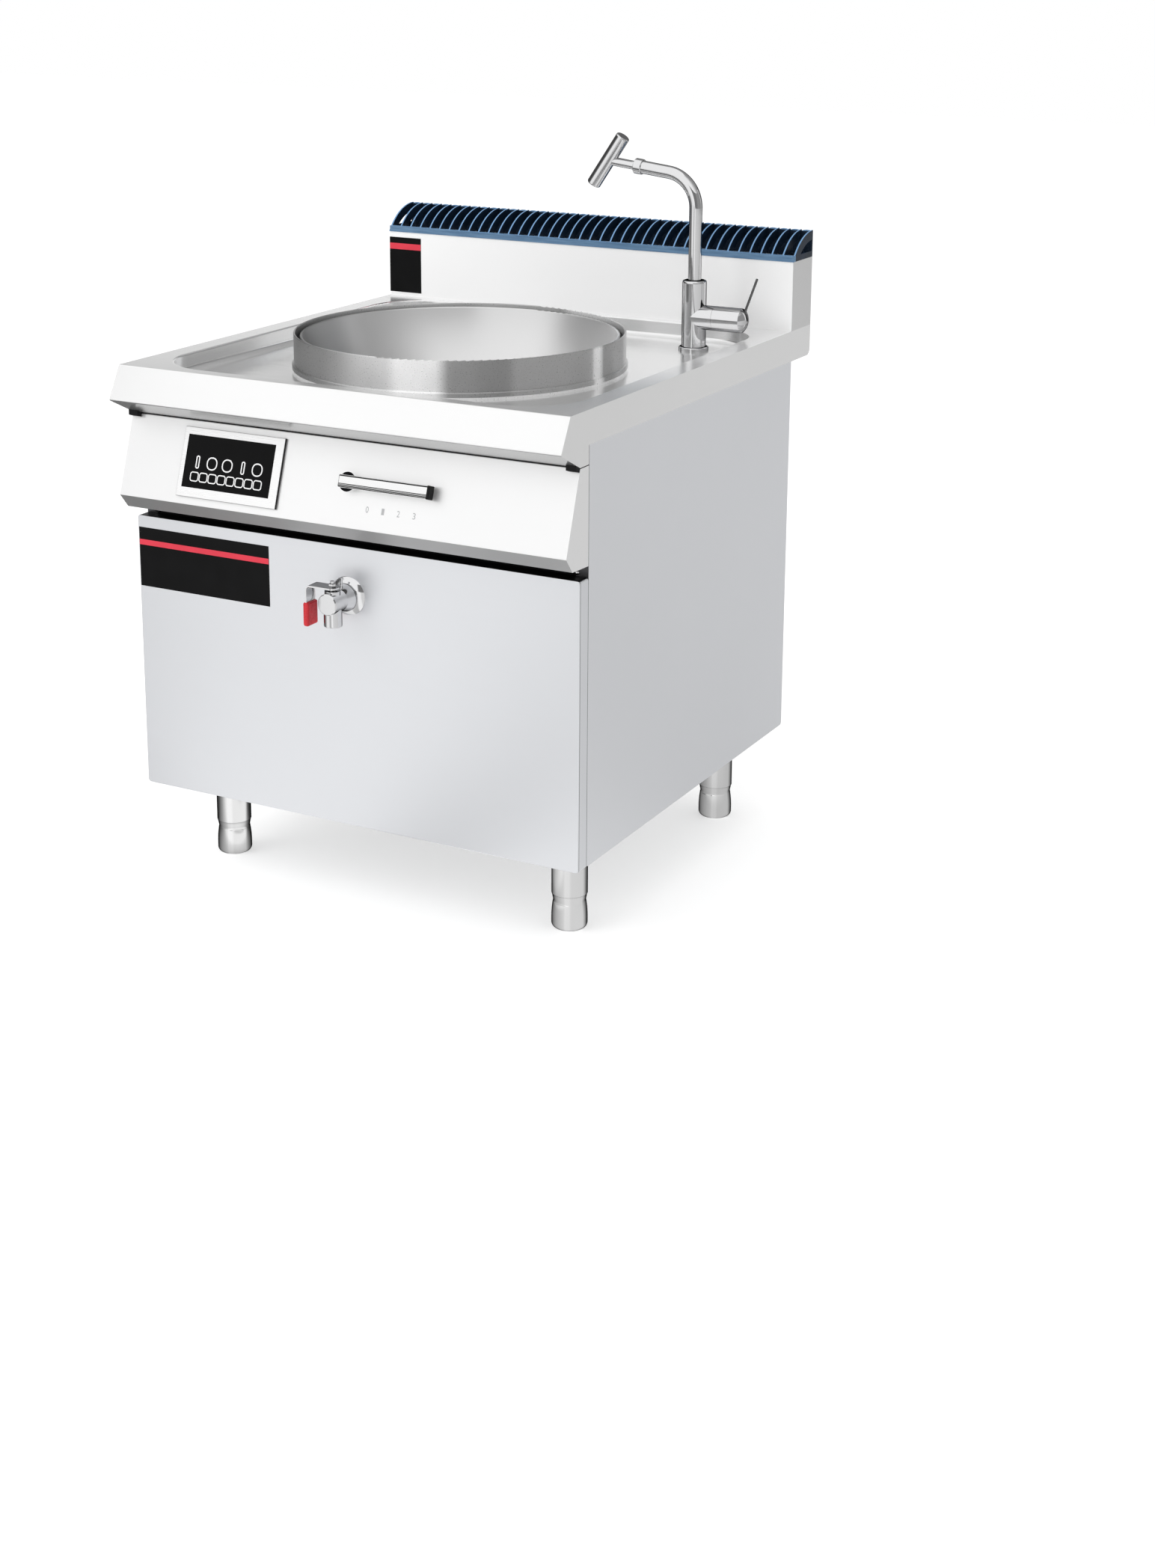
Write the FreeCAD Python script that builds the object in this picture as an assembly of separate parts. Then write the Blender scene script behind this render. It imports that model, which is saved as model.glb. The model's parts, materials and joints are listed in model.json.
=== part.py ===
import FreeCAD, Part
import math
import os

# Free-standing induction wok range: a sheet-metal cabinet on four adjustable feet, a worktop with a
# raised edge, a hemispherical wok in a collar, a backsplash with a louvred vent, a tilted control
# panel, a drain valve in front and a swivelling tap. Lengths are in millimetres.
# +X is the viewer's right, +Y the back, +Z up. Pieces are drawn with y = 0 on the cabinet's front
# plane and z = 0 on the floor, then moved so that the origin is the middle of the whole underside.

V = FreeCAD.Vector
X_AXIS = V(1, 0, 0)
Y_AXIS = V(0, 1, 0)
Z_AXIS = V(0, 0, 1)
ORIGIN = V(0, 0, 0)

# Cabinet and worktop
WIDTH = 800.0
RIM_HEIGHT = 850.0
LEG_HEIGHT = 150.0
CABINET_DEPTH = 735.0
TOP_OVERHANG = 80.0
LIP_REACH = 85.0
RIM_REACH = 57.0
BAND_HEIGHT = 52.0
BAND_CORNER = 12.0
SHEET = 2.0
FOLD_RADIUS = 3.0
PANEL_FLANGE = 18.0

# Recessed deck of the worktop
DECK_DEPTH = 28.0
DECK_SIDE_RIM = 38.0
DECK_FRONT_REACH = 32.0
DECK_BACK_LEDGE = 14.0
DECK_CORNER = 100.0
DECK_FILLET = 8.0
RIM_ROUND = 3.0

# Wok, its collar and seal
WOK_Y = 313.0
WOK_RADIUS = 254.0
WOK_DEPTH = 200.0
WOK_WALL = 2.5
WOK_RIM_WIDTH = 4.0
WOK_RIM_OVER_DECK = 56.0
WOK_SKIRT = 12.0
WOK_FLANGE = 2.0
COLLAR_RADIUS = 268.0
COLLAR_WALL = 3.0
COLLAR_OVER_DECK = 61.0
COLLAR_BEAD = 3.0
COLLAR_BEAD_HEIGHT = 12.0
COLLAR_LEDGE_WIDTH = 8.0
COLLAR_LEDGE = 4.0
DECK_HOLE_RADIUS = 262.0
SEAL_HEIGHT = 4.0
SEAT_GAP = 0.3

# Induction coil set under the wok
INSULATION = 5.0
COIL_THICKNESS = 12.0
CARRIER_WALL = 5.0
FERRITE_THICKNESS = 8.0
COIL_INNER_ANGLE = 11.0
COIL_OUTER_ANGLE = 50.0
CARRIER_FLANGE = 18.0
FERRITES = 8
BRACKETS = 4
BRACKET_WIDTH = 30.0
BRACKET_SHEET = 3.0

# Backsplash and vent grille
SPLASH_THICKNESS = 81.0
SPLASH_HEIGHT = 117.0
DUCT_MARGIN = 12.0
GRILLE_HEIGHT = 45.0
GRILLE_RADIUS = 98.0
GRILLE_LIP_HEIGHT = 10.0
GRILLE_LIP_DEPTH = 10.0
GRILLE_FINS = 40
FIN_THICKNESS = 2.6
FIN_DEPTH = 16.0
GRILLE_WALL = 4.0
SCALLOP = 2.5
LIP_CORNER = 4.0

# Control panel
PANEL_TOP_DROP = 30.0
PANEL_TOP_REACH = 27.0
PANEL_NOSE_REACH = 68.0
PANEL_FACE_DROP = 125.0
PANEL_CHAMFER_REACH = 49.0
PANEL_CHAMFER_DROP = 23.0
PANEL_FOOT_DROP = 2.0
GASKET = 1.5
BUMPER_WIDTH = 17.0
BUMPER_REACH = 11.0
BUMPER_DROP = 5.0

# Display, as places across the panel and drops below its top edge
BEZEL_INSET = 203.2
BEZEL_DROP = 62.0
BEZEL_WIDTH = 187.6
BEZEL_LENGTH = 109.2
BEZEL_THICKNESS = 4.5
WINDOW_X = -3.2
WINDOW_RISE = 1.7
WINDOW_WIDTH = 164.0
WINDOW_LENGTH = 83.0
GLASS_THICKNESS = 3.5
GLASS_LEDGE = 4.0
BOARD_THICKNESS = 10.0
BOARD_MARGIN = 8.0

# Power lever
LEVER_X = 23.0
LEVER_DROP = 60.0
LEVER_HUB_RADIUS = 15.0
LEVER_HUB_HEIGHT = 12.0
LEVER_TAIL = 13.0
LEVER_LENGTH = 143.0
LEVER_BAR_WIDTH = 20.0
LEVER_BAR_BASE = 4.0
LEVER_BAR_TOP = 18.0
SHAFT_RADIUS = 5.0
SHAFT_DEPTH = 24.0
SWITCH_RADIUS = 20.0
SWITCH_DEPTH = 32.0
RUNNING = 0.05
CLEAR = 0.3
HOLE_CLEARANCE = 1.0

# Lower front panel and its screws
FRONT_DEPTH = 26.0
FRONT_GAP = 17.0
FRONT_BOTTOM_DROP = 2.0
FRONT_CORNER = 5.0
SCREW_INSET = 18.0
SCREW_RISE = 5.0
SCREW_HEAD_RADIUS = 3.5
SCREW_HEAD = 3.0

# Drain
DRAIN_HOLE_RADIUS = 20.0
DRAIN_FLANGE_RADIUS = 32.0
DRAIN_FLANGE_DROP = 12.0
DRAIN_NECK_DROP = 34.0
STRAINER_THICKNESS = 2.0
STRAINER_LEDGE = 3.0
STRAINER_HOLES = 8
STRAINER_HOLE_RADIUS = 2.5
PIPE_RADIUS = 14.0
PIPE_WALL = 1.5
PIPE_BEND = 60.0

# Drain valve, as distances forward of the lower front panel, and its drop below that panel's top
VALVE_DROP = 78.0
VALVE_LENGTH = 61.0
ROSETTE_RADIUS = 30.5
ROSETTE_RIM = 1.2
ROSETTE_DOME = 9.0
BELL_START = 9.3
BELL_RIM = 3.0
BELL_END = 27.0
BELL_RADIUS = 22.0
VALVE_RADIUS = 17.0
VALVE_CAP = 3.0
VALVE_CAP_DOME = 1.5
STEM_REACH = 43.0
BALL_RADIUS = 12.0
BALL_PORT = 7.0
VALVE_BORE = 9.0
STEM_RADIUS = 3.0
STEM_SHOULDER_RADIUS = 5.5
STEM_SHOULDER = 3.0
STEM_TOP = 34.0
BOSS_RADIUS = 12.0
BOSS_HEIGHT = 19.0
OUTLET_RADIUS = 14.0
OUTLET_BORE = 10.0
OUTLET_DROP = 37.0
OUTLET_BORE_DEPTH = 24.0
STOP_PIN_RADIUS = 2.2
STOP_PIN_REACH = 19.0
STOP_PIN_TOP = 33.0
VALVE_LEVER_WIDTH = 24.0
VALVE_LEVER_SHEET = 2.5
VALVE_LEVER_REACH = 41.0
VALVE_LEVER_TAIL = 11.0
VALVE_LEVER_BEND = 8.0
VALVE_LEVER_DROP = 60.0
GRIP_WIDTH = 28.0
GRIP_THICKNESS = 10.0
GRIP_LENGTH = 38.0
GRIP_CAP = 3.0
NUT_FLATS = 10.0
NUT_HEIGHT = 5.0

# Tap
TAP_INSET = 137.5
TAP_TO_SPLASH = 95.6
TAP_FLANGE_RADIUS = 25.0
TAP_FLANGE = 6.0
TAP_BODY_RADIUS = 20.5
TAP_BODY_HEIGHT = 118.0
TAP_BODY_ROUND = 4.0
SHANK_RADIUS = 16.0
SHANK_LENGTH = 40.0
LOCKNUT_RADIUS = 26.0
LOCKNUT_HEIGHT = 9.0
SPOUT_RADIUS = 11.0
SPOUT_WALL = 1.5
SPOUT_SOCKET = 26.0
SPOUT_BEND = 57.0
SPOUT_RISE_ANGLE = 7.0
SPOUT_END_REACH = 112.5
SPOUT_END_OVER_DECK = 302.0
SPOUT_NUT_RADIUS = 13.0
SPOUT_NUT_LENGTH = 14.0
NECK_RADIUS = 7.5
NECK_STUB_RADIUS = 6.0
NECK_STUB = 12.0
HEAD_REACH = 52.0
HEAD_RADIUS = 12.0
HEAD_LENGTH = 100.0
HEAD_TILT = 34.0
HEAD_ROUND = 2.5
NOZZLE_RADIUS = 9.0
NOZZLE_RECESS = 3.0
MIXER_OVER_DECK = 56.0
MIXER_REACH = 39.5
HANDLE_LENGTH = 58.0
HANDLE_DOME = 9.0
SPINDLE_RADIUS = 8.0
SPINDLE_LENGTH = 15.0
LEVER_PIVOT = 48.0
LEVER_PIN_RADIUS = 3.0
LEVER_PIN_LENGTH = 12.0
ROD_RADIUS = 2.0
ROD_LENGTH = 77.0
ROD_LEAN = 20.0
ROD_SWING = 25.0
ROD_SLOT_GAP = 0.5

# Legs and feet
LEG_RADIUS = 28.5
LEG_WALL = 3.0
LEG_INSET_X = 80.0
LEG_INSET_Y = 97.5
FOOT_HEIGHT = 58.0
FOOT_WAIST = 26.0
FOOT_WAIST_HEIGHT = 46.0
FOOT_SHOULDER = 19.0
FOOT_EDGE = 8.0
FOOT_COLLAR = 3.0
FOOT_COLLAR_STEP = 1.0
FOOT_SWELL = 0.4
FOOT_HOLLOW = 0.4
LEG_PLUG = 20.0
LEG_CAP = 6.0
STUD_RADIUS = 10.0
STUD_LENGTH = 62.0
BOLT_RADIUS = 8.0
BOLT_REACH = 22.0
BOLT_NUT_FLATS = 24.0
BOLT_NUT_HEIGHT = 13.0

# Frame of angle section
ANGLE = 30.0
ANGLE_WALL = 3.0
BASE_SHEET = 3.0

# Electrical parts inside the cabinet
MODULE_WIDTH = 300.0
MODULE_DEPTH = 240.0
MODULE_HEIGHT = 110.0
MODULE_TO_BACK = 285.0
MODULE_ROUND = 4.0
SINK_MARGIN = 10.0
SINK_BASE = 8.0
SINK_FIN = 3.0
SINK_FIN_HEIGHT = 30.0
SINK_FINS = 13
FAN_INSET = 200.0
FAN_RISE = 147.0
FAN_SIZE = 120.0
FAN_DEPTH = 38.0
FAN_BORE = 56.0
FAN_HUB = 20.0
FAN_STRUT = 5.0
FAN_BLADES = 7
FAN_BLADE_SHEET = 2.0
FAN_BLADE_PITCH = 35.0
FAN_TIP_GAP = 2.0
FAN_SHAFT = 3.0
SLOTS = 8
SLOT_LENGTH = 108.0
SLOT_WIDTH = 7.0
TERMINAL_INSET = 150.0
TERMINAL_RISE = 147.0
TERMINAL_WIDTH = 140.0
TERMINAL_DEPTH = 60.0
TERMINAL_HEIGHT = 90.0
TERMINAL_LID = 2.0
GLAND_RISE = 52.0
GLAND_BORE = 8.0
GLAND_THREAD = 12.5
GLAND_FLATS = 30.0
GLAND_REACH = 28.0
GLAND_NUT = 6.0

# Water connection through the back panel
INLET_RISE = 267.0
INLET_RADIUS = 10.5
INLET_BORE = 6.5
INLET_REACH = 22.0
INLET_FLATS = 26.0
INLET_HEX = 8.0
SUPPLY_RADIUS = 6.0
SUPPLY_WALL = 1.0
SUPPLY_BEND = 60.0

# Places that follow from the sizes above
HALF = WIDTH / 2
DECK_HALF_WIDTH = HALF - DECK_SIDE_RIM
BEZEL_X = -HALF + BEZEL_INSET
SCREW_X = HALF - SCREW_INSET
TOP_BACK = CABINET_DEPTH + TOP_OVERHANG
BAND_BOTTOM = RIM_HEIGHT - BAND_HEIGHT
DECK_Z = RIM_HEIGHT - DECK_DEPTH
DECK_UNDER = DECK_Z - SHEET
SPLASH_FRONT = TOP_BACK - SPLASH_THICKNESS
DECK_BACK = SPLASH_FRONT - DECK_BACK_LEDGE
SPLASH_TOP = RIM_HEIGHT + SPLASH_HEIGHT
GRILLE_TOP = SPLASH_TOP + GRILLE_HEIGHT
PANEL_TOP_Z = BAND_BOTTOM - PANEL_TOP_DROP
PANEL_NOSE_Z = PANEL_TOP_Z - PANEL_FACE_DROP
PANEL_CHAMFER_Z = PANEL_NOSE_Z - PANEL_CHAMFER_DROP
PANEL_FOOT_Z = PANEL_CHAMFER_Z - PANEL_FOOT_DROP
PANEL_TILT = math.degrees(math.atan2(PANEL_NOSE_REACH - PANEL_TOP_REACH, PANEL_FACE_DROP))
WEDGE_BOTTOM = PANEL_TOP_Z + GASKET
FRONT_TOP_Z = PANEL_FOOT_Z - FRONT_GAP
FRONT_BOTTOM_Z = LEG_HEIGHT - FRONT_BOTTOM_DROP
WOK_RIM_Z = DECK_Z + WOK_RIM_OVER_DECK
WOK_SPHERE = (WOK_RADIUS ** 2 + WOK_DEPTH ** 2) / (2 * WOK_DEPTH)
WOK_CENTRE_Z = WOK_RIM_Z - WOK_DEPTH + WOK_SPHERE
WOK_OUTER = WOK_SPHERE + WOK_WALL
WOK_EDGE = WOK_RADIUS + WOK_RIM_WIDTH
FLANGE_TOP_Z = WOK_RIM_Z - WOK_SKIRT
FLANGE_Z = FLANGE_TOP_Z - WOK_FLANGE
COLLAR_INNER = COLLAR_RADIUS - COLLAR_WALL
COLLAR_TOP_Z = DECK_Z + COLLAR_OVER_DECK
INSULATION_IN = WOK_OUTER + SEAT_GAP
COIL_IN = INSULATION_IN + INSULATION + SEAT_GAP
CARRIER_IN = COIL_IN + COIL_THICKNESS + SEAT_GAP
CARRIER_OUT = CARRIER_IN + CARRIER_WALL
DRAIN_TOP_Z = WOK_CENTRE_Z - WOK_OUTER
VALVE_HEIGHT = FRONT_TOP_Z - VALVE_DROP
VALVE_Y = -FRONT_DEPTH
STEM_Y = VALVE_Y - STEM_REACH
BOSS_TOP_Z = VALVE_HEIGHT + BOSS_HEIGHT
STRIP_Z = BOSS_TOP_Z + CLEAR + STEM_SHOULDER
LEVER_Z = PANEL_TOP_Z - LEVER_DROP
TAP_X = HALF - TAP_INSET
TAP_Y = SPLASH_FRONT - TAP_TO_SPLASH
TAP_TOP_Z = DECK_Z + TAP_BODY_HEIGHT
MIXER_Z = DECK_Z + MIXER_OVER_DECK
MIXER_X = TAP_X + MIXER_REACH
SPOUT_END = V(TAP_X - SPOUT_END_REACH, TAP_Y, DECK_Z + SPOUT_END_OVER_DECK)
BASE_TOP = LEG_HEIGHT + BASE_SHEET
MODULE_Y = CABINET_DEPTH - MODULE_TO_BACK
FAN_X = -HALF + FAN_INSET
FAN_Z = BASE_TOP + FAN_RISE
TERMINAL_X = HALF - TERMINAL_INSET
TERMINAL_Z = BASE_TOP + TERMINAL_RISE
GLAND_Z = BASE_TOP + GLAND_RISE
INLET_Z = BASE_TOP + INLET_RISE
BACK_INNER = CABINET_DEPTH - SHEET
FRONT_MOST = max(LIP_REACH, FRONT_DEPTH + VALVE_LENGTH)
CENTRE_Y = (TOP_BACK - FRONT_MOST) / 2
LEG_PLACES = {
    "front_left": (-HALF + LEG_INSET_X, LEG_INSET_Y),
    "front_right": (HALF - LEG_INSET_X, LEG_INSET_Y),
    "rear_left": (-HALF + LEG_INSET_X, CABINET_DEPTH - LEG_INSET_Y),
    "rear_right": (HALF - LEG_INSET_X, CABINET_DEPTH - LEG_INSET_Y),
}


def box(x0, x1, y0, y1, z0, z1):
    return Part.makeBox(x1 - x0, y1 - y0, z1 - z0, V(x0, y0, z0))


def rod(radius, start, end):
    return Part.makeCylinder(radius, (end - start).Length, start, end - start)


def upright(radius, z0, z1, x=0.0, y=0.0):
    return Part.makeCylinder(radius, z1 - z0, V(x, y, z0))


def closed_wire(steps, place):
    """A closed wire: a step (a, b) is a straight run there, and ((a, b), (c, d)) an arc through (a, b)."""
    start = place(*steps[0])
    here = start
    edges = []
    for step in steps[1:]:
        if isinstance(step[0], tuple):
            end = place(*step[1])
            edges.append(Part.Arc(here, place(*step[0]), end).toShape())
        else:
            end = place(*step)
            edges.append(Part.makeLine(here, end))
        here = end
    if here.distanceToPoint(start) > 1e-6:
        edges.append(Part.makeLine(here, start))
    return Part.Wire(edges)


def dome(radius, base, height):
    """The step of a lathe profile that runs from (radius, base) over a spherical cap to the axis."""
    sphere = (radius ** 2 + height ** 2) / (2 * height)
    half_angle = math.asin(radius / sphere) / 2
    return (sphere * math.sin(half_angle), base + height - sphere * (1 - math.cos(half_angle))), \
        (0, base + height)


def side_face(steps, x):
    """A face in the plane of that x, from steps of (y, z)."""
    return Part.Face(closed_wire(steps, lambda y, z: V(x, y, z)))


def lathe(steps, turn=360.0):
    """A solid turned about the Z axis from a closed profile of (radius, height)."""
    return Part.Face(closed_wire(steps, lambda r, z: V(r, 0, z))).revolve(ORIGIN, Z_AXIS, turn)


def moved(shape, x=0.0, y=0.0, z=0.0):
    return shape.translated(V(x, y, z))


def turned(shape, axis, angle, centre=ORIGIN):
    out = shape.copy()
    out.rotate(centre, axis, angle)
    return out


def forward(shape, x, y, z):
    """Lays a shape drawn up the Z axis so that it points to the front from (x, y, z)."""
    return moved(turned(shape, X_AXIS, 90), x, y, z)


def backward(shape, x, y, z):
    """Lays a shape drawn up the Z axis so that it points to the back from (x, y, z)."""
    return moved(turned(shape, X_AXIS, -90), x, y, z)


def hexagon(flats, height):
    """A hexagonal prism standing on the origin."""
    reach = flats / math.sqrt(3)
    corners = [V(reach * math.cos(math.radians(60 * i)), reach * math.sin(math.radians(60 * i)), 0)
               for i in range(7)]
    return Part.Face(Part.makePolygon(corners)).extrude(V(0, 0, height))


def edges_where(shape, test):
    """The shape's edges whose every vertex, and whose middle, pass the test."""
    found = []
    for edge in shape.Edges:
        middle = edge.valueAt((edge.FirstParameter + edge.LastParameter) / 2)
        points = [vertex.Point for vertex in edge.Vertexes] + [middle]
        if all(test(p) for p in points):
            found.append(edge)
    return found


def near(a, b):
    return abs(a - b) < 1e-4


def rounded_tray(x0, x1, y0, y1, z0, z1, corner, floor_round):
    """A box with rounded upright corners and a rounded edge round its floor."""
    solid = box(x0, x1, y0, y1, z0, z1)
    uprights = [e for e in solid.Edges if near(e.BoundBox.ZLength, z1 - z0)]
    solid = solid.makeFillet(corner, uprights)
    return solid.makeFillet(floor_round, edges_where(solid, lambda p: near(p.z, z0)))


def on_panel(shape, x, z):
    """Moves a shape drawn on the XY plane to the control panel's sloping face at (x, z)."""
    out = turned(shape, X_AXIS, 90 - PANEL_TILT)
    return moved(out, x, panel_y(z), z)


def panel_y(z):
    """Where the control panel's face lies at the height z."""
    return -PANEL_TOP_REACH - (PANEL_TOP_Z - z) * math.tan(math.radians(PANEL_TILT))


def centred_plate(width, length, z0, z1, x=0.0, y=0.0):
    return box(x - width / 2, x + width / 2, y - length / 2, y + length / 2, z0, z1)


# Worktop, wok and collar

def worktop_blank():
    """The worktop's outer form: rim, sloping apron, return under the apron and side bands."""
    steps = [(-RIM_REACH, RIM_HEIGHT), (-LIP_REACH, BAND_BOTTOM), (-PANEL_TOP_REACH, WEDGE_BOTTOM),
             (0, WEDGE_BOTTOM), (0, BAND_BOTTOM), (TOP_BACK - BAND_CORNER, BAND_BOTTOM)]
    slant = BAND_CORNER * (1 - math.sqrt(0.5))
    steps.append(((TOP_BACK - slant, BAND_BOTTOM + slant), (TOP_BACK, BAND_BOTTOM + BAND_CORNER)))
    steps.append((TOP_BACK, RIM_HEIGHT))
    return side_face(steps, -HALF)


def duct_hole(z0, z1):
    """The air path up through the worktop's rear rim and the backsplash's foot."""
    edge = SHEET + DUCT_MARGIN
    return box(-HALF + edge, HALF - edge, SPLASH_FRONT + DUCT_MARGIN, TOP_BACK - DUCT_MARGIN, z0, z1)


def worktop():
    face = worktop_blank()
    solid = face.extrude(V(WIDTH, 0, 0))
    folds = edges_where(solid, lambda p: near(p.y, -RIM_REACH) and near(p.z, RIM_HEIGHT))
    folds += edges_where(solid, lambda p: near(p.y, -LIP_REACH) and near(p.z, BAND_BOTTOM))
    solid = solid.makeFillet(FOLD_RADIUS, folds)
    hollow = face.makeOffset2D(-SHEET).translated(V(SHEET, 0, 0)).extrude(V(WIDTH - 2 * SHEET, 0, 0))
    inner = HALF - SHEET
    pan = rounded_tray(-DECK_HALF_WIDTH - SHEET, DECK_HALF_WIDTH + SHEET, -DECK_FRONT_REACH - SHEET,
                       DECK_BACK + SHEET, DECK_UNDER, RIM_HEIGHT, DECK_CORNER + SHEET,
                       DECK_FILLET + SHEET)
    recess = rounded_tray(-DECK_HALF_WIDTH, DECK_HALF_WIDTH, -DECK_FRONT_REACH, DECK_BACK, DECK_Z,
                          RIM_HEIGHT + DECK_DEPTH, DECK_CORNER, DECK_FILLET)
    solid = solid.cut(hollow)
    solid = solid.cut(box(-inner, inner, 0, CABINET_DEPTH, BAND_BOTTOM - SHEET, BAND_BOTTOM + 2 * SHEET))
    solid = solid.fuse(pan).cut(recess)
    solid = solid.cut(upright(DECK_HOLE_RADIUS, DECK_UNDER - SHEET, DECK_Z + SHEET, 0, WOK_Y))
    solid = solid.cut(upright(SHANK_RADIUS + HOLE_CLEARANCE, DECK_UNDER - SHEET, DECK_Z + SHEET,
                              TAP_X, TAP_Y))
    solid = solid.cut(duct_hole(RIM_HEIGHT - 2 * SHEET, RIM_HEIGHT + SHEET)).removeSplitter()
    brim = edges_where(solid, lambda p: near(p.z, RIM_HEIGHT) and abs(p.x) < DECK_HALF_WIDTH + 1
                       and -DECK_FRONT_REACH - 1 < p.y < DECK_BACK + 1)
    return solid.makeFillet(RIM_ROUND, brim)


def collar_ring():
    """A welded collar with a bead at its foot and a ledge inside that carries the wok."""
    bead = COLLAR_RADIUS + COLLAR_BEAD
    bead_top = DECK_Z + COLLAR_BEAD_HEIGHT
    round_off = COLLAR_BEAD * (1 - math.sqrt(0.5))
    half_wall = COLLAR_WALL / 2
    ledge = COLLAR_INNER - COLLAR_LEDGE_WIDTH
    steps = [(COLLAR_INNER, DECK_Z), (bead, DECK_Z), (bead, bead_top - COLLAR_BEAD),
             ((bead - round_off, bead_top - round_off), (COLLAR_RADIUS, bead_top)),
             (COLLAR_RADIUS, COLLAR_TOP_Z - half_wall),
             ((COLLAR_RADIUS - half_wall, COLLAR_TOP_Z), (COLLAR_INNER, COLLAR_TOP_Z - half_wall)),
             (COLLAR_INNER, FLANGE_Z), (ledge, FLANGE_Z), (ledge, FLANGE_Z - COLLAR_LEDGE),
             (COLLAR_INNER, FLANGE_Z - COLLAR_LEDGE)]
    return moved(lathe(steps), 0, WOK_Y)


def sphere_height(sphere, radius):
    """The height of a bowl of that sphere radius at that distance from the axis."""
    return WOK_CENTRE_Z - math.sqrt(sphere ** 2 - radius ** 2)


def bowl_radius(sphere, z):
    return math.sqrt(sphere ** 2 - (WOK_CENTRE_Z - z) ** 2)


def wok_bowl():
    """A spherical bowl with a drain hole, a rolled rim and a flange that sits on the collar's ledge."""
    rim_half = WOK_RIM_WIDTH / 2
    inner_top = WOK_RIM_Z - rim_half
    inner_edge = bowl_radius(WOK_SPHERE, inner_top)
    middle = WOK_RADIUS * 0.6
    flange = COLLAR_INNER - SEAT_GAP
    outer_edge = bowl_radius(WOK_OUTER, FLANGE_Z)
    steps = [(DRAIN_HOLE_RADIUS, sphere_height(WOK_SPHERE, DRAIN_HOLE_RADIUS)),
             ((middle, sphere_height(WOK_SPHERE, middle)), (inner_edge, inner_top)),
             (((inner_edge + WOK_EDGE) / 2, WOK_RIM_Z), (WOK_EDGE, inner_top)),
             (WOK_EDGE, FLANGE_TOP_Z), (flange, FLANGE_TOP_Z), (flange, FLANGE_Z),
             (outer_edge, FLANGE_Z),
             ((middle, sphere_height(WOK_OUTER, middle)),
              (DRAIN_HOLE_RADIUS, sphere_height(WOK_OUTER, DRAIN_HOLE_RADIUS)))]
    return moved(lathe(steps), 0, WOK_Y)


def wok_seal():
    """The black seal in the groove between the wok and its collar."""
    inner = WOK_EDGE + SEAT_GAP
    outer = COLLAR_INNER - SEAT_GAP
    middle = (inner + outer) / 2
    top = FLANGE_TOP_Z + SEAL_HEIGHT
    steps = [(inner, FLANGE_TOP_Z), (outer, FLANGE_TOP_Z), (outer, top), ((middle, top - 1), (inner, top))]
    return moved(lathe(steps), 0, WOK_Y)


# Induction coil set

def bowl_zone(inner, outer, low, high, turn=360.0):
    """A shell between two spheres about the wok's centre, from one angle off the axis to another."""
    def point(sphere, angle):
        return (sphere * math.sin(math.radians(angle)),
                WOK_CENTRE_Z - sphere * math.cos(math.radians(angle)))
    middle = (low + high) / 2
    steps = [point(inner, low), point(outer, low), (point(outer, middle), point(outer, high)),
             point(inner, high), (point(inner, middle), point(inner, low))]
    return lathe(steps, turn)


def coil_insulation():
    zone = bowl_zone(INSULATION_IN, INSULATION_IN + INSULATION, COIL_INNER_ANGLE, COIL_OUTER_ANGLE)
    return moved(zone, 0, WOK_Y)


def induction_coil():
    edge = 1.0
    zone = bowl_zone(COIL_IN, COIL_IN + COIL_THICKNESS, COIL_INNER_ANGLE + edge, COIL_OUTER_ANGLE - edge)
    return moved(zone, 0, WOK_Y)


def carrier_edge():
    """The radius and height of the carrier's upper outer edge."""
    high = math.radians(COIL_OUTER_ANGLE)
    return CARRIER_OUT * math.sin(high), WOK_CENTRE_Z - CARRIER_OUT * math.cos(high)


def coil_carrier():
    """A dished carrier under the coil, with a flat flange round its edge for the brackets."""
    radius, height = carrier_edge()
    dish = bowl_zone(CARRIER_IN, CARRIER_OUT, COIL_INNER_ANGLE, COIL_OUTER_ANGLE)
    flange = upright(radius + CARRIER_FLANGE, height, height + CARRIER_WALL)
    flange = flange.cut(upright(radius - CARRIER_WALL, height, height + CARRIER_WALL))
    keep_out = Part.makeSphere(CARRIER_IN, V(0, 0, WOK_CENTRE_Z))
    return moved(dish.fuse(flange.cut(keep_out)).removeSplitter(), 0, WOK_Y)


def ferrite_bars():
    """Bars under the carrier that close the coil's field."""
    inner = CARRIER_OUT + SEAT_GAP
    turn = 8.0
    bar = bowl_zone(inner, inner + FERRITE_THICKNESS, COIL_INNER_ANGLE + 4, COIL_OUTER_ANGLE - 6, turn)
    bars = [turned(bar, Z_AXIS, 360 / FERRITES * i - turn / 2) for i in range(FERRITES)]
    return moved(Part.makeCompound(bars), 0, WOK_Y)


def coil_brackets():
    """Bent straps that hang the carrier from the deck's underside."""
    radius, height = carrier_edge()
    low = height + CARRIER_WALL
    near_side = radius + 4
    wall = radius + CARRIER_FLANGE
    reach = wall + BRACKET_SHEET
    foot = reach + CARRIER_FLANGE + 20
    steps = [(near_side, low), (reach, low), (reach, DECK_UNDER - BRACKET_SHEET),
             (foot, DECK_UNDER - BRACKET_SHEET), (foot, DECK_UNDER), (wall, DECK_UNDER),
             (wall, low + BRACKET_SHEET), (near_side, low + BRACKET_SHEET)]
    face = Part.Face(closed_wire(steps, lambda r, z: V(r, -BRACKET_WIDTH / 2, z)))
    strap = face.extrude(V(0, BRACKET_WIDTH, 0))
    straps = [turned(strap, Z_AXIS, 360 / BRACKETS * (i + 0.5)) for i in range(BRACKETS)]
    return moved(Part.makeCompound(straps), 0, WOK_Y)


# Backsplash and vent grille

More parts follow.
